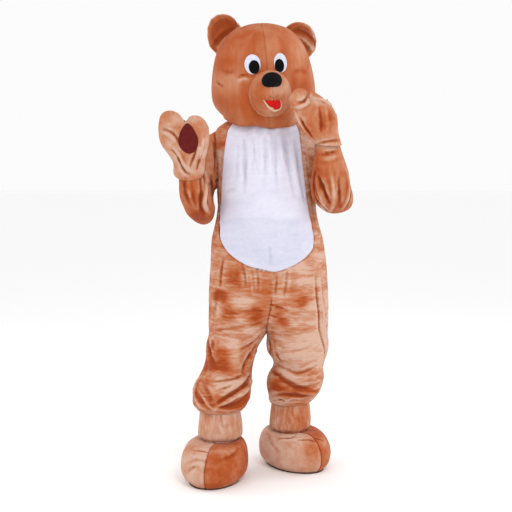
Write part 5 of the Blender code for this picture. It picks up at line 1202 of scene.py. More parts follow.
piece_creases = {}
for number, crease in enumerate(CREASES):
    piece_creases.setdefault(crease.piece, []).append((number, crease))
for garment_name, pieces in GARMENTS.items():
    skin = skins[garment_name]
    mesh = skin.data
    points, normals = points_of(mesh), normals_of(mesh)
    surface = SURFACES[kind_of(garment_name)]
    rise = waviness(points, surface)
    away = seam_distance(mesh, points)
    rise -= surface.seam_depth * np.exp(-((away / surface.seam_width) ** 2))
    for index, piece in enumerate(pieces):
        tree = panel_tree(skin, index) if piece in piece_creases else None
        for number, crease in piece_creases.get(piece, []):
            rise += crease_height(points, path_on(tree, crease), crease, 10.0 * number)
    if garment_name.startswith("boot"):
        rise += cuff_gathers(skin, points)
    if garment_name == "head":
        rise -= neck_tuck(mesh, points)
    points_before = points
    points = points + normals * rise[:, None]
    if garment_name == "head":
        points = jaw_drop(points)
    set_points(mesh, points)
    if garment_name == "head":
        rise += neck_tuck(mesh, points_before)
    # The fold value paints ridges paler and hollows darker in the plush materials: painted highlight and
    # painted shade
    add_values(mesh, "fold", fold_values(rise, edges_of(mesh)))
    # The tilt paints relief shading into the nap: darker where a fold tips the cloth up, paler where it tips
    # it down
    add_values(mesh, "tilt", normals_of(mesh)[:, 2] - normals[:, 2])
    print(garment_name, "moved by", rise.min().round(4), "to", rise.max().round(4))

# %% [markdown]
# ## Where the pile is brushed, and where relief light and shade are painted
#
# The nap is a cloth's own, so each panel starts from the value it was cut with, and hands and wear
# brush it open in places. The table gives those places as seen from the front, each with its size and
# how much paler, or deeper, the pile is there; on the head a few of them are painted light at the
# upper left and painted shade at the jaw. Backs and sides get patches of the same kind. The nap is
# also painted darker where a fold tips the cloth up and paler where it tips it down, and in the
# material the fold value paints ridges paler and hollows darker: painted highlight and painted shade.

# %% Brush the nap and paint in the relief shading
BASE_NAP = {
    "belly": 0.86, "front_right": 0.58, "front_left": 0.80, "back_right": 0.55, "back_left": 0.52,
    "sleeve_right": 0.26, "sleeve_left": 0.40, "face_right": 0.34, "face_left": 0.36,
    "head_back_right": 0.38, "head_back_left": 0.38, "palm_right": 0.58, "mitt_back_right": 0.50,
    "palm_left": 0.50, "mitt_back_left": 0.50, "ankle_cuff_right": 0.80, "ankle_cuff_left": 0.74,
    "boot_inner_right": 0.24, "boot_outer_right": 0.84, "boot_inner_left": 0.88, "boot_outer_left": 0.36,
}
Brush = namedtuple("Brush", "view across height half_width half_height change")
# Brushed places of the pile, and on the head some patches of painted light and painted shade
BRUSHED_PLACES_AND_PAINTED_LIGHT = [
    # the right leg
    Brush("front", -0.187, -0.675, 0.030, 0.030, -0.50),
    Brush("front", -0.155, -0.742, 0.034, 0.026, -0.45),
    Brush("front", -0.178, -0.912, 0.030, 0.044, -0.45),
    Brush("front", -0.160, -0.955, 0.030, 0.020, -0.35),
    Brush("front", -0.044, -0.728, 0.022, 0.040, -0.45),
    Brush("front", -0.236, -0.950, 0.020, 0.060, -0.35),
    Brush("front", -0.200, -0.720, 0.020, 0.030, 0.40),
    Brush("front", -0.092, -0.684, 0.046, 0.022, 0.40),
    Brush("front", -0.126, -0.762, 0.050, 0.016, 0.42),
    Brush("front", -0.134, -0.888, 0.032, 0.044, 0.40),
    Brush("front", -0.146, -1.012, 0.050, 0.018, 0.42),
    Brush("front", -0.066, -0.806, 0.026, 0.028, 0.32),
    Brush("front", -0.100, -1.076, 0.034, 0.018, -0.30),
    Brush("front", -0.120, -1.096, 0.060, 0.014, -0.45),
    Brush("front", -0.196, -1.060, 0.030, 0.014, -0.40),
    Brush("front", -0.266, -1.060, 0.020, 0.030, -0.25),
    Brush("front", -0.130, -1.130, 0.060, 0.012, 0.20),
    # the left leg
    Brush("front", 0.046, -0.728, 0.024, 0.026, -0.45),
    Brush("front", 0.068, -0.770, 0.024, 0.018, -0.50),
    Brush("front", 0.136, -0.690, 0.018, 0.030, -0.35),
    Brush("front", 0.044, -1.024, 0.022, 0.030, -0.62),
    Brush("front", 0.110, -1.066, 0.092, 0.022, -0.68),
    Brush("front", 0.170, -0.996, 0.060, 0.026, -0.15),
    Brush("front", 0.120, -0.880, 0.080, 0.060, 0.22),
    Brush("front", 0.024, -0.860, 0.012, 0.060, -0.35),
    Brush("front", 0.200, -0.940, 0.026, 0.040, 0.20),
    Brush("front", 0.150, -1.106, 0.060, 0.010, 0.20),
    # under the belly and beside it
    Brush("front", -0.084, -0.590, 0.014, 0.040, 0.40),
    Brush("front", -0.040, -0.610, 0.016, 0.040, 0.30),
    Brush("front", -0.130, -0.600, 0.030, 0.050, -0.25),
    Brush("front", 0.104, -0.600, 0.016, 0.050, -0.30),
    Brush("front", 0.190, -0.560, 0.020, 0.090, 0.05),
    Brush("front", 0.178, -0.300, 0.024, 0.200, -0.20),
    Brush("front", -0.180, -0.260, 0.024, 0.200, 0.10),
    # the arms
    Brush("front", -0.236, -0.260, 0.012, 0.090, 0.52),
    Brush("front", -0.262, -0.350, 0.036, 0.020, -0.30),
    Brush("front", -0.212, -0.110, 0.018, 0.060, 0.20),
    Brush("front", 0.222, -0.334, 0.032, 0.022, 0.36),
    Brush("front", 0.262, -0.200, 0.014, 0.080, 0.22),
    Brush("front", 0.300, -0.200, 0.012, 0.080, 0.18),
    Brush("front", 0.186, -0.230, 0.018, 0.060, -0.20),
    Brush("front", 0.230, -0.086, 0.050, 0.016, 0.24),
    # the mitts
    Brush("front", -0.370, -0.050, 0.024, 0.050, 0.34),
    Brush("front", -0.350, -0.120, 0.030, 0.020, 0.30),
    Brush("front", -0.300, -0.166, 0.050, 0.022, 0.36),
    Brush("front", -0.248, -0.086, 0.018, 0.050, 0.28),
    Brush("front", -0.296, 0.022, 0.050, 0.018, 0.26),
    Brush("front", -0.232, -0.020, 0.020, 0.036, 0.10),
    Brush("front", 0.150, 0.094, 0.040, 0.022, 0.30),
    Brush("front", 0.108, 0.040, 0.018, 0.040, 0.22),
    Brush("front", 0.230, 0.084, 0.044, 0.018, 0.34),
    Brush("front", 0.276, 0.010, 0.014, 0.060, 0.34),
    Brush("front", 0.190, -0.066, 0.060, 0.014, 0.26),
    Brush("front", 0.212, 0.010, 0.034, 0.036, -0.16),
    # the head: painted light at the upper left and painted shade at the jaw, between brushed patches
    Brush("front", 0.134, 0.322, 0.060, 0.066, 0.20),
    Brush("front", 0.186, 0.250, 0.016, 0.120, 0.26),
    Brush("front", -0.168, 0.168, 0.060, 0.044, 0.26),
    Brush("front", -0.150, 0.236, 0.060, 0.030, -0.14),
    Brush("front", 0.046, 0.136, 0.026, 0.022, 0.36),
    Brush("front", -0.030, 0.120, 0.024, 0.050, -0.16),
    Brush("front", 0.076, 0.150, 0.012, 0.040, 0.26),
    Brush("front", -0.086, 0.174, 0.030, 0.010, 0.22),
    Brush("front", -0.120, 0.320, 0.060, 0.050, -0.06),
    Brush("front", 0.000, 0.300, 0.014, 0.090, 0.06),
    Brush("front", 0.120, 0.150, 0.070, 0.040, -0.12),
    Brush("front", -0.100, 0.090, 0.080, 0.030, -0.10),
    # the boots
    Brush("front", 0.236, -1.276, 0.030, 0.022, 0.30),
    Brush("front", -0.236, -1.350, 0.070, 0.020, 0.10),
    Brush("front", -0.150, -1.256, 0.050, 0.012, 0.34),
    Brush("front", 0.150, -1.180, 0.030, 0.050, -0.34),
    Brush("front", 0.180, -1.300, 0.032, 0.050, -0.46),
    Brush("front", -0.180, -1.200, 0.050, 0.024, 0.06),
    # the back and the sides
    Brush("back", -0.100, -0.180, 0.080, 0.070, 0.20),
    Brush("back", 0.110, -0.300, 0.090, 0.060, 0.24),
    Brush("back", -0.080, -0.560, 0.080, 0.060, 0.30),
    Brush("back", 0.090, -0.620, 0.080, 0.060, 0.22),
    Brush("back", -0.150, -0.840, 0.060, 0.060, 0.30),
    Brush("back", 0.120, -0.880, 0.070, 0.050, 0.32),
    Brush("back", -0.170, -1.060, 0.080, 0.024, 0.26),
    Brush("back", 0.120, -1.066, 0.080, 0.024, 0.22),
    Brush("back", -0.060, 0.300, 0.090, 0.080, 0.16),
    Brush("back", 0.080, 0.160, 0.080, 0.070, 0.14),
    Brush("back", -0.290, -0.160, 0.030, 0.070, 0.26),
    Brush("back", 0.300, -0.180, 0.030, 0.070, 0.30),
    Brush("back", -0.180, -1.280, 0.060, 0.060, 0.10),
    Brush("back", 0.110, -1.260, 0.060, 0.060, 0.10),
]

BELLY_BRUSHES = [
    Brush("front", 0.010, -0.480, 0.300, 0.100, -0.30),
    Brush("front", -0.120, -0.300, 0.050, 0.030, -0.08),
    Brush("front", -0.090, -0.140, 0.020, 0.120, -0.06),
]
# How much darker the nap is painted where a fold tips the cloth up, and paler where it tips it down: painted
# shade and painted light
TILT_PAINTED_SHADE = 0.35
SIDE_START = 0.25
SIDE_SLOPE = 2.0


def brushed(points, normals, brush):
    """How strongly a patch, brushed or of painted light and shade, covers each point, softly and only on the
    side it is seen from.
    """
    across = (points[:, 0] - brush.across) / brush.half_width
    height = (points[:, 2] - brush.height) / brush.half_height
    cover = 1 / (1 + (across**2 + height**2) ** 2)
    toward = -1 if brush.view == "front" else 1
    return cover * np.clip(SIDE_START + SIDE_SLOPE * toward * normals[:, 1], 0, 1)


def values_of(mesh, name):
    values = np.empty(len(mesh.vertices), np.float32)
    mesh.attributes[name].data.foreach_get("value", values)
    return values


def brush_nap_and_painted_shade(mesh, piece):
    """Writes the nap of one panel, painted darker where a fold tips the cloth up and paler where it tips it
    down: painted shade and painted light.
    """
    points, normals = points_of(mesh), normals_of(mesh)
    nap = BASE_NAP[piece] - TILT_PAINTED_SHADE * values_of(mesh, "tilt")
    for brush in BELLY_BRUSHES if piece == "belly" else BRUSHED_PLACES_AND_PAINTED_LIGHT:
        nap += brush.change * brushed(points, normals, brush)
    add_values(mesh, "nap", nap)


print(len(BRUSHED_PLACES_AND_PAINTED_LIGHT) + len(BELLY_BRUSHES), "brushed places")

# %% [markdown]
# ## The cut of each panel, and its cloth
#
# Each panel goes back to being its own piece: the skin is split along its seams, and every panel gets
# the thickness of its cloth, inwards, with the knitted backing on its inner side. The table gives the
# flat size that each panel was cut to. A boot half or a sleeve counts all round.

# %% Cut the skins back into panels
PLUSH_THICKNESS = 0.0028
FOAM_THICKNESS = 0.0078
BOOT_THICKNESS = 0.0038

Panel = namedtuple("Panel", "width length area finish backing thickness held")
PANELS = {
    "belly": Panel(0.40, 0.74, 0.225, "belly_plush", "white_backing_knit", PLUSH_THICKNESS, "stretched"),
    "front": Panel(0.46, 1.19, 0.270, "suit_plush", "backing_knit", PLUSH_THICKNESS, "gathered"),
    "back": Panel(0.40, 1.20, 0.360, "back_plush", "backing_knit", PLUSH_THICKNESS, "gathered"),
    "sleeve": Panel(0.46, 0.60, 0.240, "sleeve_plush", "backing_knit", PLUSH_THICKNESS, "gathered"),
    "face": Panel(0.34, 0.50, 0.120, "head_plush", "backing_knit", FOAM_THICKNESS, "stretched"),
    "head_back": Panel(0.34, 0.50, 0.125, "head_plush", "backing_knit", FOAM_THICKNESS, "stretched"),
    "palm": Panel(0.20, 0.32, 0.045, "mitt_plush", "backing_knit", PLUSH_THICKNESS, "stretched"),
    "mitt_back": Panel(0.20, 0.32, 0.045, "mitt_plush", "backing_knit", PLUSH_THICKNESS, "stretched"),
    "ankle_cuff": Panel(0.54, 0.15, 0.080, "cuff_plush", "backing_knit", PLUSH_THICKNESS, "gathered"),
    "boot_inner": Panel(0.42, 0.26, 0.085, "boot_plush", "backing_knit", BOOT_THICKNESS, "stretched"),
    "boot_outer": Panel(0.42, 0.26, 0.085, "boot_plush", "backing_knit", BOOT_THICKNESS, "stretched"),
}


def panel_from(skin, index, piece):
    """The faces of one material slot of a skin, as cloth with a thickness."""
    panel = PANELS[kind_of(piece)]
    cloth = skin.copy()
    cloth.data = skin.data.copy()
    cloth.name = f"{piece}_cloth"
    bpy.context.scene.collection.objects.link(cloth)
    cut = bmesh.new()
    cut.from_mesh(cloth.data)
    bmesh.ops.delete(cut, geom=[f for f in cut.faces if f.material_index != index], context="FACES")
    for face in cut.faces:
        face.material_index = 0
        face.smooth = True
    cut.to_mesh(cloth.data)
    cut.free()
    brush_nap_and_painted_shade(cloth.data, piece)
    cloth.data.materials.clear()
    cloth.data.materials.append(FINISHES[panel.finish])
    cloth.data.materials.append(FINISHES[panel.backing])
    wall = cloth.modifiers.new("thickness", "SOLIDIFY")
    wall.thickness = panel.thickness
    wall.offset = -1
    wall.material_offset = 1
    wall.material_offset_rim = 0
    alone(cloth)
    bpy.ops.object.modifier_apply(modifier=wall.name)
    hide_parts(piece)
    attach(cloth, "root")
    return cloth


cloths = {}
for garment_name, pieces in GARMENTS.items():
    for index, piece in enumerate(pieces):
        cloths[piece] = panel_from(skins[garment_name], index, piece)
        size = len(cloths[piece].data.polygons)
        area = sum(face.area for face in cloths[piece].data.polygons) / 2
        print(f"{piece}: {size} faces, {area:.3f} square metres")
    bpy.data.objects.remove(skins[garment_name])

# %% [markdown]
# ## The padded pieces
#
# The muzzle, nose and ears are stuffed. The two layers of an ear are joined into one body and
# smoothed, so that its rim becomes one soft roll. The muzzle's halves and the nose are smoothed
# through their own points.

# %% Make the muzzle, the nose and the ears
EAR_GRAIN = 0.0022
EAR_SMOOTHING = 26
CURVE_SMOOTHING = 24
EAR_CUP = 0.011
EAR_CUP_REACH = 0.80
NOSE_SWELL = np.array((1.05, 1.08, 1.12))
NOSE_SHIFT = np.array((0.0, -0.0050, -0.0022))
# edge makes bulges and rims paler, a painted highlight; fold carries the same curve into the material as
# painted highlight on bulges and painted shade in hollows
PaddedLook = namedtuple("PaddedLook", "nap edge fold rounds")
PADDED_LOOKS = {
    "ear_plush": PaddedLook(0.30, 0.45, 0.5, 40),
    "muzzle_plush": PaddedLook(0.42, 0.10, 0.3, 60),
    "nose_plush": PaddedLook(0.30, 0.10, 0.3, 20),
}


def surface_under(pieces):
    """A search tree of some finished pieces, in the object's frame."""
    ground = bmesh.new()
    for piece in pieces:
        ground.from_mesh(piece.data)
    tree = BVHTree.FromBMesh(ground)
    ground.free()
    return tree


def solid_copy(pieces, name):
    """One object from copies of some nodes' closed solids."""
    body = bmesh.new()
    for piece in pieces:
        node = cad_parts[piece]
        start = len(body.verts)
        body.from_mesh(node.data)
        body.verts.ensure_lookup_table()
        bmesh.ops.transform(body, matrix=node.matrix_world, verts=body.verts[start:])
    bmesh.ops.remove_doubles(body, verts=body.verts, dist=WELD)
    mesh = bpy.data.meshes.new(name)
    body.to_mesh(mesh)
    body.free()
    made = bpy.data.objects.new(name, mesh)
    bpy.context.scene.collection.objects.link(made)
    return made


def curve_values(mesh, rounds):
    """From -1 where the surface is hollow to 1 where it bulges most."""
    points = points_of(mesh)
    out = ((points - smoothed_over(points, edges_of(mesh), rounds)) * normals_of(mesh)).sum(axis=1)
    out = smoothed_over(out[:, None], edges_of(mesh), CURVE_SMOOTHING)[:, 0]
    return np.clip(out / np.percentile(np.abs(out), 92), -1, 1)


def hollowed(points, normals):
    """How far the front of an ear sinks: a shallow cup inside its rim."""
    middle = (points.min(axis=0) + points.max(axis=0)) / 2
    half = (points.max(axis=0) - points.min(axis=0)) / 2
    away = np.hypot((points[:, 0] - middle[0]) / half[0], (points[:, 2] - middle[2]) / half[2])
    inside = np.clip(1 - (away / EAR_CUP_REACH) ** 2, 0, 1) ** 0.8
    return EAR_CUP * inside * np.clip(-1.5 * normals[:, 1], 0, 1)


def sculpt_padded(made, name):
    """Cups an ear and lays a padded piece's own creases on it."""
    mesh = made.data
    points, normals = points_of(mesh), normals_of(mesh)
    rise = np.zeros(len(points))
    if name.startswith("ear"):
        rise -= hollowed(points, normals)
    for number, crease in piece_creases.get(name, []):
        rise += crease_height(points, path_on(surface_under([made]), crease), crease, 10.0 * number)
    set_points(mesh, points + normals * rise[:, None])


def finish_padded(made, name, pieces, finish):
    look = PADDED_LOOKS[finish]
    sculpt_padded(made, name)
    curve = curve_values(made.data, look.rounds)
    points, normals = points_of(made.data), normals_of(made.data)
    # Bulges and rims are made paler: a painted highlight. The curve as fold adds painted highlight on bulges
    # and painted shade in hollows.
    nap = look.nap + look.edge * np.clip(curve, 0, 1)
    for brush in BRUSHED_PLACES_AND_PAINTED_LIGHT:
        nap += brush.change * brushed(points, normals, brush)
    add_values(made.data, "fold", curve * look.fold)
    add_values(made.data, "nap", nap)
    made.data.materials.clear()
    made.data.materials.append(FINISHES[finish])
    made.data.shade_smooth()
    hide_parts(*pieces)
    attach(made, "root")


def stuffed(name, pieces, finish, grain, smoothing):
    """Some solids that touch, grown together into one soft body."""
    made = solid_copy(pieces, name)
    made.data.remesh_voxel_size = grain
    alone(made)
    bpy.ops.object.voxel_remesh()
    smoother = made.modifiers.new("soften", "SMOOTH")
    smoother.factor = 0.5
    smoother.iterations = smoothing
    bpy.ops.object.modifier_apply(modifier=smoother.name)
    finish_padded(made, name.replace("_padded", ""), pieces, finish)
    return made


def softened(name, piece, finish, levels):
    """One solid, smoothed through its own points."""
    made = solid_copy([piece], name)
    alone(made)
    bpy.ops.object.mode_set(mode="EDIT")
    bpy.ops.mesh.select_all(action="SELECT")
    bpy.ops.mesh.tris_convert_to_quads(face_threshold=math.radians(60), shape_threshold=math.pi)
    bpy.ops.object.mode_set(mode="OBJECT")
    smooth_through(made, levels, rounds=1)
    finish_padded(made, piece, [piece], finish)
    return made


padded = {}
for side in ("left", "right"):
    layers = [f"ear_front_{side}", f"ear_back_{side}"]
    padded[f"ear_{side}"] = stuffed(f"ear_{side}_padded", layers, "ear_plush", EAR_GRAIN, EAR_SMOOTHING)
    half = f"muzzle_{side}"
    padded[half] = softened(f"{half}_padded", half, "muzzle_plush", 3)
padded["nose"] = softened("nose_padded", "nose", "nose_plush", 2)
nose_points = points_of(padded["nose"].data)
nose_middle = (nose_points.min(axis=0) + nose_points.max(axis=0)) / 2
set_points(padded["nose"].data, nose_middle + (nose_points - nose_middle) * NOSE_SWELL + NOSE_SHIFT)
for name, piece in padded.items():
    print(name, len(piece.data.polygons), "faces")

# %% [markdown]
# ## The felt
#
# The eyes, mouth, lip and paw pads are flat felt, glued and stitched onto what is under them. Each is
# drawn as an outline of (across, height) points, filled with rings of faces, laid onto the finished
# plush below it and then given its thickness. The head's pieces are drawn in the head's own frame,
# which leans and turns a little.

# %% Lay the felt on the plush
FELT_THICKNESS = 0.0018
FELT_LIFT = 0.0006
HEAD_PLACE = Vector((-0.0035, 0.0, -0.0165))
HEAD_TURN = (0, math.radians(-3.7), math.radians(6))
HEAD_FRAME = Matrix.Translation(HEAD_PLACE) @ Euler(HEAD_TURN).to_matrix().to_4x4()
FELT_RINGS = 14
FELT_RAY_START = 0.6
FELT_RAY_REACH = 0.34
BRIDGING = 10
MOUTH_LIFT = 0.0042


def oval_outline(across, height, half_width, half_height, count=48):
    outline = []
    for k in range(count):
        turn = 2 * math.pi * k / count
        outline.append(Vector((across + half_width * math.cos(turn), height + half_height * math.sin(turn))))
    return outline


def rings_inside(outline, count=FELT_RINGS):
    """Rings of points that shrink from an outline to its middle, closer together near the edge."""
    middle = sum(outline, Vector((0, 0))) / len(outline)
    shares = [math.sin(math.pi / 2 * (count - k) / count) for k in range(count)]
    return [[middle.lerp(point, share) for point in outline] for share in shares] + [[middle] * len(outline)]


def laid(point, place, toward, tree):
    """Where a flat piece's (across, height) point touches the pieces under it, seen along the frame's Y."""
    ahead = place.to_3x3() @ Vector((0, toward, 0))
    start = place @ Vector((point.x, 0, point.y)) + ahead * FELT_RAY_START
    hit, normal, _, _ = tree.ray_cast(start, -ahead)
    if hit is None:
        hit, normal, _, _ = tree.find_nearest(start - ahead * FELT_RAY_REACH)
    return hit, normal


def felt_piece(name, rows, closed, place, toward, tree, lift, thickness, finish, replaced, bridging=0):
    """Felt through rows of (across, height) points, laid on what the tree holds."""
    felt = bmesh.new()
    made_rows = []
    for row in rows:
        made_row = []
        for point in row:
            hit, normal = laid(point, place, toward, tree)
            made_row.append(felt.verts.new(hit + normal * (lift + thickness)))
        made_rows.append(made_row)
    for outer, inner in zip(made_rows, made_rows[1:]):
        count = len(outer)
        for k in range(count if closed else count - 1):
            after = (k + 1) % count
            felt.faces.new([outer[k], outer[after], inner[after], inner[k]])
    bmesh.ops.remove_doubles(felt, verts=felt.verts, dist=WELD)
    bmesh.ops.recalc_face_normals(felt, faces=felt.faces)
    for _ in range(bridging):
        bmesh.ops.smooth_vert(felt, verts=felt.verts, factor=0.5, use_axis_y=True)
    ahead = place.to_3x3() @ Vector((0, toward, 0))
    if sum((face.normal for face in felt.faces), Vector()).dot(ahead) < 0:
        bmesh.ops.reverse_faces(felt, faces=felt.faces)
    mesh = bpy.data.meshes.new(name)
    felt.to_mesh(mesh)
    felt.free()
    mesh.shade_smooth()
    mesh.materials.append(FINISHES[finish])
    made = bpy.data.objects.new(name, mesh)
    bpy.context.scene.collection.objects.link(made)
    wall = made.modifiers.new("thickness", "SOLIDIFY")
    wall.thickness = thickness
    wall.offset = -1
    edge = made.modifiers.new("soft edge", "BEVEL")
    edge.width = thickness * 0.35
    edge.segments = 2
    edge.angle_limit = math.radians(50)
    alone(made)
    bpy.ops.object.modifier_apply(modifier=wall.name)
    bpy.ops.object.modifier_apply(modifier=edge.name)
    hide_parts(replaced)
    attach(made, "root")
    return made


LIP_SHARE = 0.62
EYE_PLACE = (0.0535, 0.2525)
EYE_HALF_SIZES = {"right": (0.030, 0.038), "left": (0.0255, 0.037)}
PUPIL_PLACE = (0.048, 0.2415)
PUPIL_HALF_SIZES = {"right": (0.0200, 0.0260), "left": (0.0180, 0.0255)}
LipRow = namedtuple("LipRow", "outer_across outer_height inner_across inner_height")
LIP_ROWS = [
    LipRow(-0.0273, 0.1142, -0.0240, 0.1134),
    LipRow(-0.0180, 0.0959, -0.0111, 0.0988),
    LipRow(-0.0051, 0.0813, 0.0058, 0.0877),
    LipRow(0.0120, 0.0727, 0.0192, 0.0816),
    LipRow(0.0327, 0.0789, 0.0287, 0.0843),
    LipRow(0.0357, 0.0909, 0.0321, 0.0960),
    LipRow(0.0322, 0.1092, 0.0296, 0.1107),
]
MOUTH_TOP = [(0.0209, 0.1090), (0.0158, 0.1108), (0.0071, 0.1088), (-0.0103, 0.1099)]
PAD_OUTLINE = [
    (-0.0040, 0.0555), (-0.0240, 0.0345), (-0.0360, -0.0005), (-0.0330, -0.0265), (-0.0160, -0.0475),
    (0.0060, -0.0555), (0.0270, -0.0425), (0.0360, -0.0195), (0.0340, 0.0075), (0.0150, 0.0435),
]
PadPlace = namedtuple("PadPlace", "across height lean toward")
PAD_PLACES = {"right": PadPlace(-0.296, -0.0515, 0, -1), "left": PadPlace(0.194, 0.006, 22, 1)}

face_tree = surface_under([cloths["face_left"], cloths["face_right"]])
for side, sign in (("left", 1), ("right", -1)):
    white = oval_outline(sign * EYE_PLACE[0], EYE_PLACE[1], *EYE_HALF_SIZES[side])
    pupil = oval_outline(sign * PUPIL_PLACE[0], PUPIL_PLACE[1], *PUPIL_HALF_SIZES[side])
    for name, outline, lift, finish, sizes in (
        (f"eye_white_{side}", white, FELT_LIFT, "eye_white_felt", EYE_HALF_SIZES[side]),
        (f"pupil_{side}", pupil, 2 * FELT_LIFT + FELT_THICKNESS, "nose_plush", PUPIL_HALF_SIZES[side]),
    ):
        cloths[name] = felt_piece(
            f"{name}_felt", rings_inside(outline), True, HEAD_FRAME, -1, face_tree, lift, FELT_THICKNESS,
            finish, name,
        )

muzzle_tree = surface_under([padded["muzzle_left"], padded["muzzle_right"]])
lip_outer = smooth_loop([(row.outer_across, row.outer_height) for row in LIP_ROWS], closed=False)
lip_inner = smooth_loop([(row.inner_across, row.inner_height) for row in LIP_ROWS], closed=False)
lip_inner = [a.lerp(b, LIP_SHARE) for a, b in zip(lip_outer, lip_inner)]
mouth_outline = lip_inner + smooth_loop(MOUTH_TOP, closed=False)
cloths["mouth"] = felt_piece(
    "mouth_felt", rings_inside(mouth_outline, 8), True, HEAD_FRAME, -1, muzzle_tree, MOUTH_LIFT,
    FELT_THICKNESS, "mouth_felt", "mouth", BRIDGING,
)
LIP_STRIPS = 6
LIP_FELT = 0.0030
lip_rows = [[a.lerp(b, k / LIP_STRIPS) for a, b in zip(lip_outer, lip_inner)] for k in range(LIP_STRIPS + 1)]
cloths["lip"] = felt_piece(
    "lip_felt", lip_rows, False, HEAD_FRAME, -1, muzzle_tree, MOUTH_LIFT, LIP_FELT, "lip_felt", "lip",
    BRIDGING,
)

for side, pad in PAD_PLACES.items():
    turned = Matrix.Rotation(math.radians(pad.lean), 2)
    outline = [turned @ Vector(point) + Vector((pad.across, pad.height)) for point in PAD_OUTLINE]
    palm_tree = surface_under([cloths[f"palm_{side}"]])
    cloths[f"paw_pad_{side}"] = felt_piece(
        f"paw_pad_{side}_felt", rings_inside(smooth_loop(outline, 6)), True, Matrix.Identity(4), pad.toward,
        palm_tree, FELT_LIFT, FELT_THICKNESS, "pad_felt", f"paw_pad_{side}",
    )
print("felt laid:", ", ".join(name for name in cloths if "eye" in name or "pad" in name))

# %% [markdown]
# ## Thread, zip and soles
#
# A short whip stitch holds the eye whites and the paw pads down all round, each in its own colour. Two
# dark stitches spread from the foot of the muzzle's seam. The zip gets its coil, a slider and a pull.
# The soles and the zip's tape keep the imported model's own shape and only get their finishes.

# %% Stitch the felt and dress the zip
STITCH_SIDES = 6
STITCH_RINGS = 5
WHIP_SPACING = 0.0050
WHIP_LENGTH = 0.0040
WHIP_WIDTH = 0.0008
WHIP_INSET = 0.0012
MUZZLE_STITCH_LENGTH = 0.0062
MUZZLE_STITCH_WIDTH = 0.0012
MUZZLE_STITCH_LIFT = 0.0004
STITCHES_AN_ARM = 3
SEAM_FOOT = (0.0120, 0.1180)
SEAM_ARMS = [(-0.0060, 0.1235), (0.0290, 0.1260)]
COIL_PITCH = 0.0025
COIL_REACH = 0.0016
COIL_TURN_LENGTH = 0.0046
COIL_TURN_WIDTH = 0.0019
COIL_LIFT = 0.0006
ZIP_TOP = 0.040
ZIP_FOOT = -0.534
SliderBlock = namedtuple("SliderBlock", "size drop out")
SLIDER_BODY = SliderBlock((0.0090, 0.0040, 0.0110), 0.0, 0.0024)
SLIDER_TAB = SliderBlock((0.0060, 0.0016, 0.0280), 0.0175, 0.0052)
SLIDER_ROUNDING = 0.35
SLIDER_BELOW_TOP = 0.008


def stitch_mesh(name, spots, length, width, finish):
    """Many short stitches as one mesh. A spot is a place, the way out and the way along the stitch."""
    body = bmesh.new()
    for place, out, along in spots:
        along = (along - out * along.dot(out)).normalized()
        turned = Matrix((along, out.cross(along), out)).transposed().to_4x4()
        turned.translation = place
        shape = turned @ Matrix.Diagonal((length / 2, width / 2, width / 2, 1))
        bmesh.ops.create_uvsphere(
            body, u_segments=STITCH_SIDES, v_segments=STITCH_RINGS, radius=1, matrix=shape
        )
    mesh = bpy.data.meshes.new(name)
    body.to_mesh(mesh)
    body.free()
    mesh.shade_smooth()
    mesh.materials.append(FINISHES[finish])
    made = bpy.data.objects.new(name, mesh)
    bpy.context.scene.collection.objects.link(made)
    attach(made, "root")
    return made


def edge_spots(outline, place, toward, tree, height, spacing):
    """Spots for stitches that cross a felt piece's edge, at even steps along it."""
    spots, since = [], spacing
    middle = sum(outline, Vector((0, 0))) / len(outline)
    for a, b in zip(outline, outline[1:] + outline[:1]):
        since += (b - a).length
        if since < spacing:
            continue
        since = 0.0
        inside = a.lerp(middle, WHIP_INSET / max((a - middle).length, WHIP_INSET))
        hit, normal = laid(inside, place, toward, tree)
        inner = laid(a.lerp(middle, 0.2), place, toward, tree)[0]
        spots.append((hit + normal * height, normal, inner - hit))
    return spots


Whip = namedtuple("Whip", "name outline place toward tree finish slot")
whips = []
for side, sign in (("left", 1), ("right", -1)):
    white = oval_outline(sign * EYE_PLACE[0], EYE_PLACE[1], *EYE_HALF_SIZES[side], 160)
    whips.append(Whip(f"eye_{side}", white, HEAD_FRAME, -1, face_tree, "white_thread", "white_felt"))
    pad = PAD_PLACES[side]
    turned = Matrix.Rotation(math.radians(pad.lean), 2)
    outline = [turned @ Vector(point) + Vector((pad.across, pad.height)) for point in PAD_OUTLINE]
    palm_tree = surface_under([cloths[f"palm_{side}"]])
    around = smooth_loop(outline, 24)
    still = Matrix.Identity(4)
    whips.append(Whip(f"pad_{side}", around, still, pad.toward, palm_tree, "maroon_thread", "maroon_felt"))
for whip in whips:
    height = FELT_LIFT + FELT_THICKNESS
    spots = edge_spots(whip.outline, whip.place, whip.toward, whip.tree, height, WHIP_SPACING)
    stitch_mesh(f"{whip.name}_stitches", spots, WHIP_LENGTH, WHIP_WIDTH, whip.finish)
    print(whip.name, len(spots), "stitches")

spots = []
for arm in SEAM_ARMS:
    start, end = Vector(SEAM_FOOT), Vector(arm)
    for k in range(STITCHES_AN_ARM):
        here = start.lerp(end, (k + 0.6) / STITCHES_AN_ARM)
        hit, normal = laid(here, HEAD_FRAME, -1, muzzle_tree)
        ahead = laid(here.lerp(end, 0.2), HEAD_FRAME, -1, muzzle_tree)[0]
        spots.append((hit + normal * MUZZLE_STITCH_LIFT, normal, ahead - hit))
stitch_mesh(
    "muzzle_stitches", spots, MUZZLE_STITCH_LENGTH, MUZZLE_STITCH_WIDTH, "dark_thread"
)

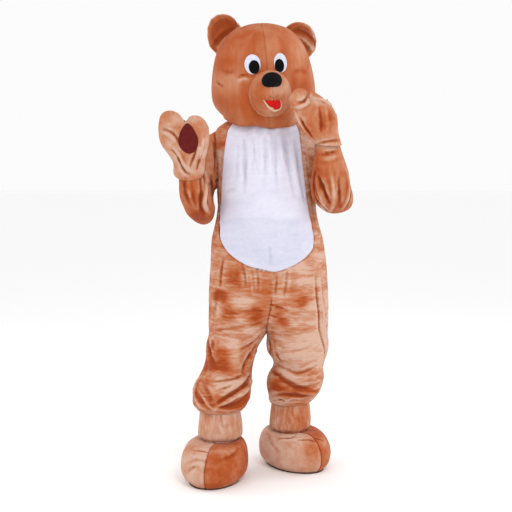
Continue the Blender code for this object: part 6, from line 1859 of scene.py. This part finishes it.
zip_ground = bmesh.new()
zip_ground.from_mesh(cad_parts["zip"].data)
zip_ground.transform(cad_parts["zip"].matrix_world)
zip_tree = BVHTree.FromBMesh(zip_ground)
zip_ground.free()
spots = []
for k in range(int((ZIP_TOP - ZIP_FOOT) / COIL_PITCH)):
    across = COIL_REACH / 2 * (1 if k % 2 else -1)
    hit, normal, _, _ = zip_tree.ray_cast(Vector((across, 1, ZIP_TOP - k * COIL_PITCH)), Vector((0, -1, 0)))
    if hit:
        spots.append((hit + normal * COIL_LIFT, normal, Vector((1, 0, 0))))
stitch_mesh("zip_coil", spots, COIL_TURN_LENGTH, COIL_TURN_WIDTH, "zip_coil")
print("zip coil:", len(spots), "turns")

top_hit, top_normal, _, _ = zip_tree.ray_cast(Vector((0, 1, ZIP_TOP - SLIDER_BELOW_TOP)), Vector((0, -1, 0)))
slider_turn = top_normal.to_track_quat("Y", "Z").to_euler()
slider_parts = []
for block_shape in (SLIDER_BODY, SLIDER_TAB):
    down = slider_turn.to_matrix() @ Vector((0, 0, -block_shape.drop))
    block_place = top_hit + top_normal * block_shape.out + down
    bpy.ops.object.select_all(action="DESELECT")
    bpy.ops.mesh.primitive_cube_add(size=1, location=block_place, rotation=slider_turn)
    block = bpy.context.object
    block.scale = block_shape.size
    bpy.ops.object.transform_apply(location=True, rotation=True, scale=True)
    rounding = block.modifiers.new("rounding", "BEVEL")
    rounding.width = block_shape.size[1] * SLIDER_ROUNDING
    rounding.segments = 3
    bpy.ops.object.modifier_apply(modifier=rounding.name)
    slider_parts.append(block)
for block in slider_parts:
    block.select_set(True)
bpy.context.view_layer.objects.active = slider_parts[0]
bpy.ops.object.join()
slider = bpy.context.object
slider.name = "zip_slider"
slider.data.shade_smooth()
slider.data.materials.clear()
slider.data.materials.append(FINISHES["zip_coil"])
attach(slider, "root")

for name, finish in (("zip", "zip_tape"), ("boot_sole_left", "boot_sole"), ("boot_sole_right", "boot_sole")):
    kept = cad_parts[name].data
    kept.materials.clear()
    kept.materials.append(FINISHES[finish])
print("finishes given to the zip and both soles")
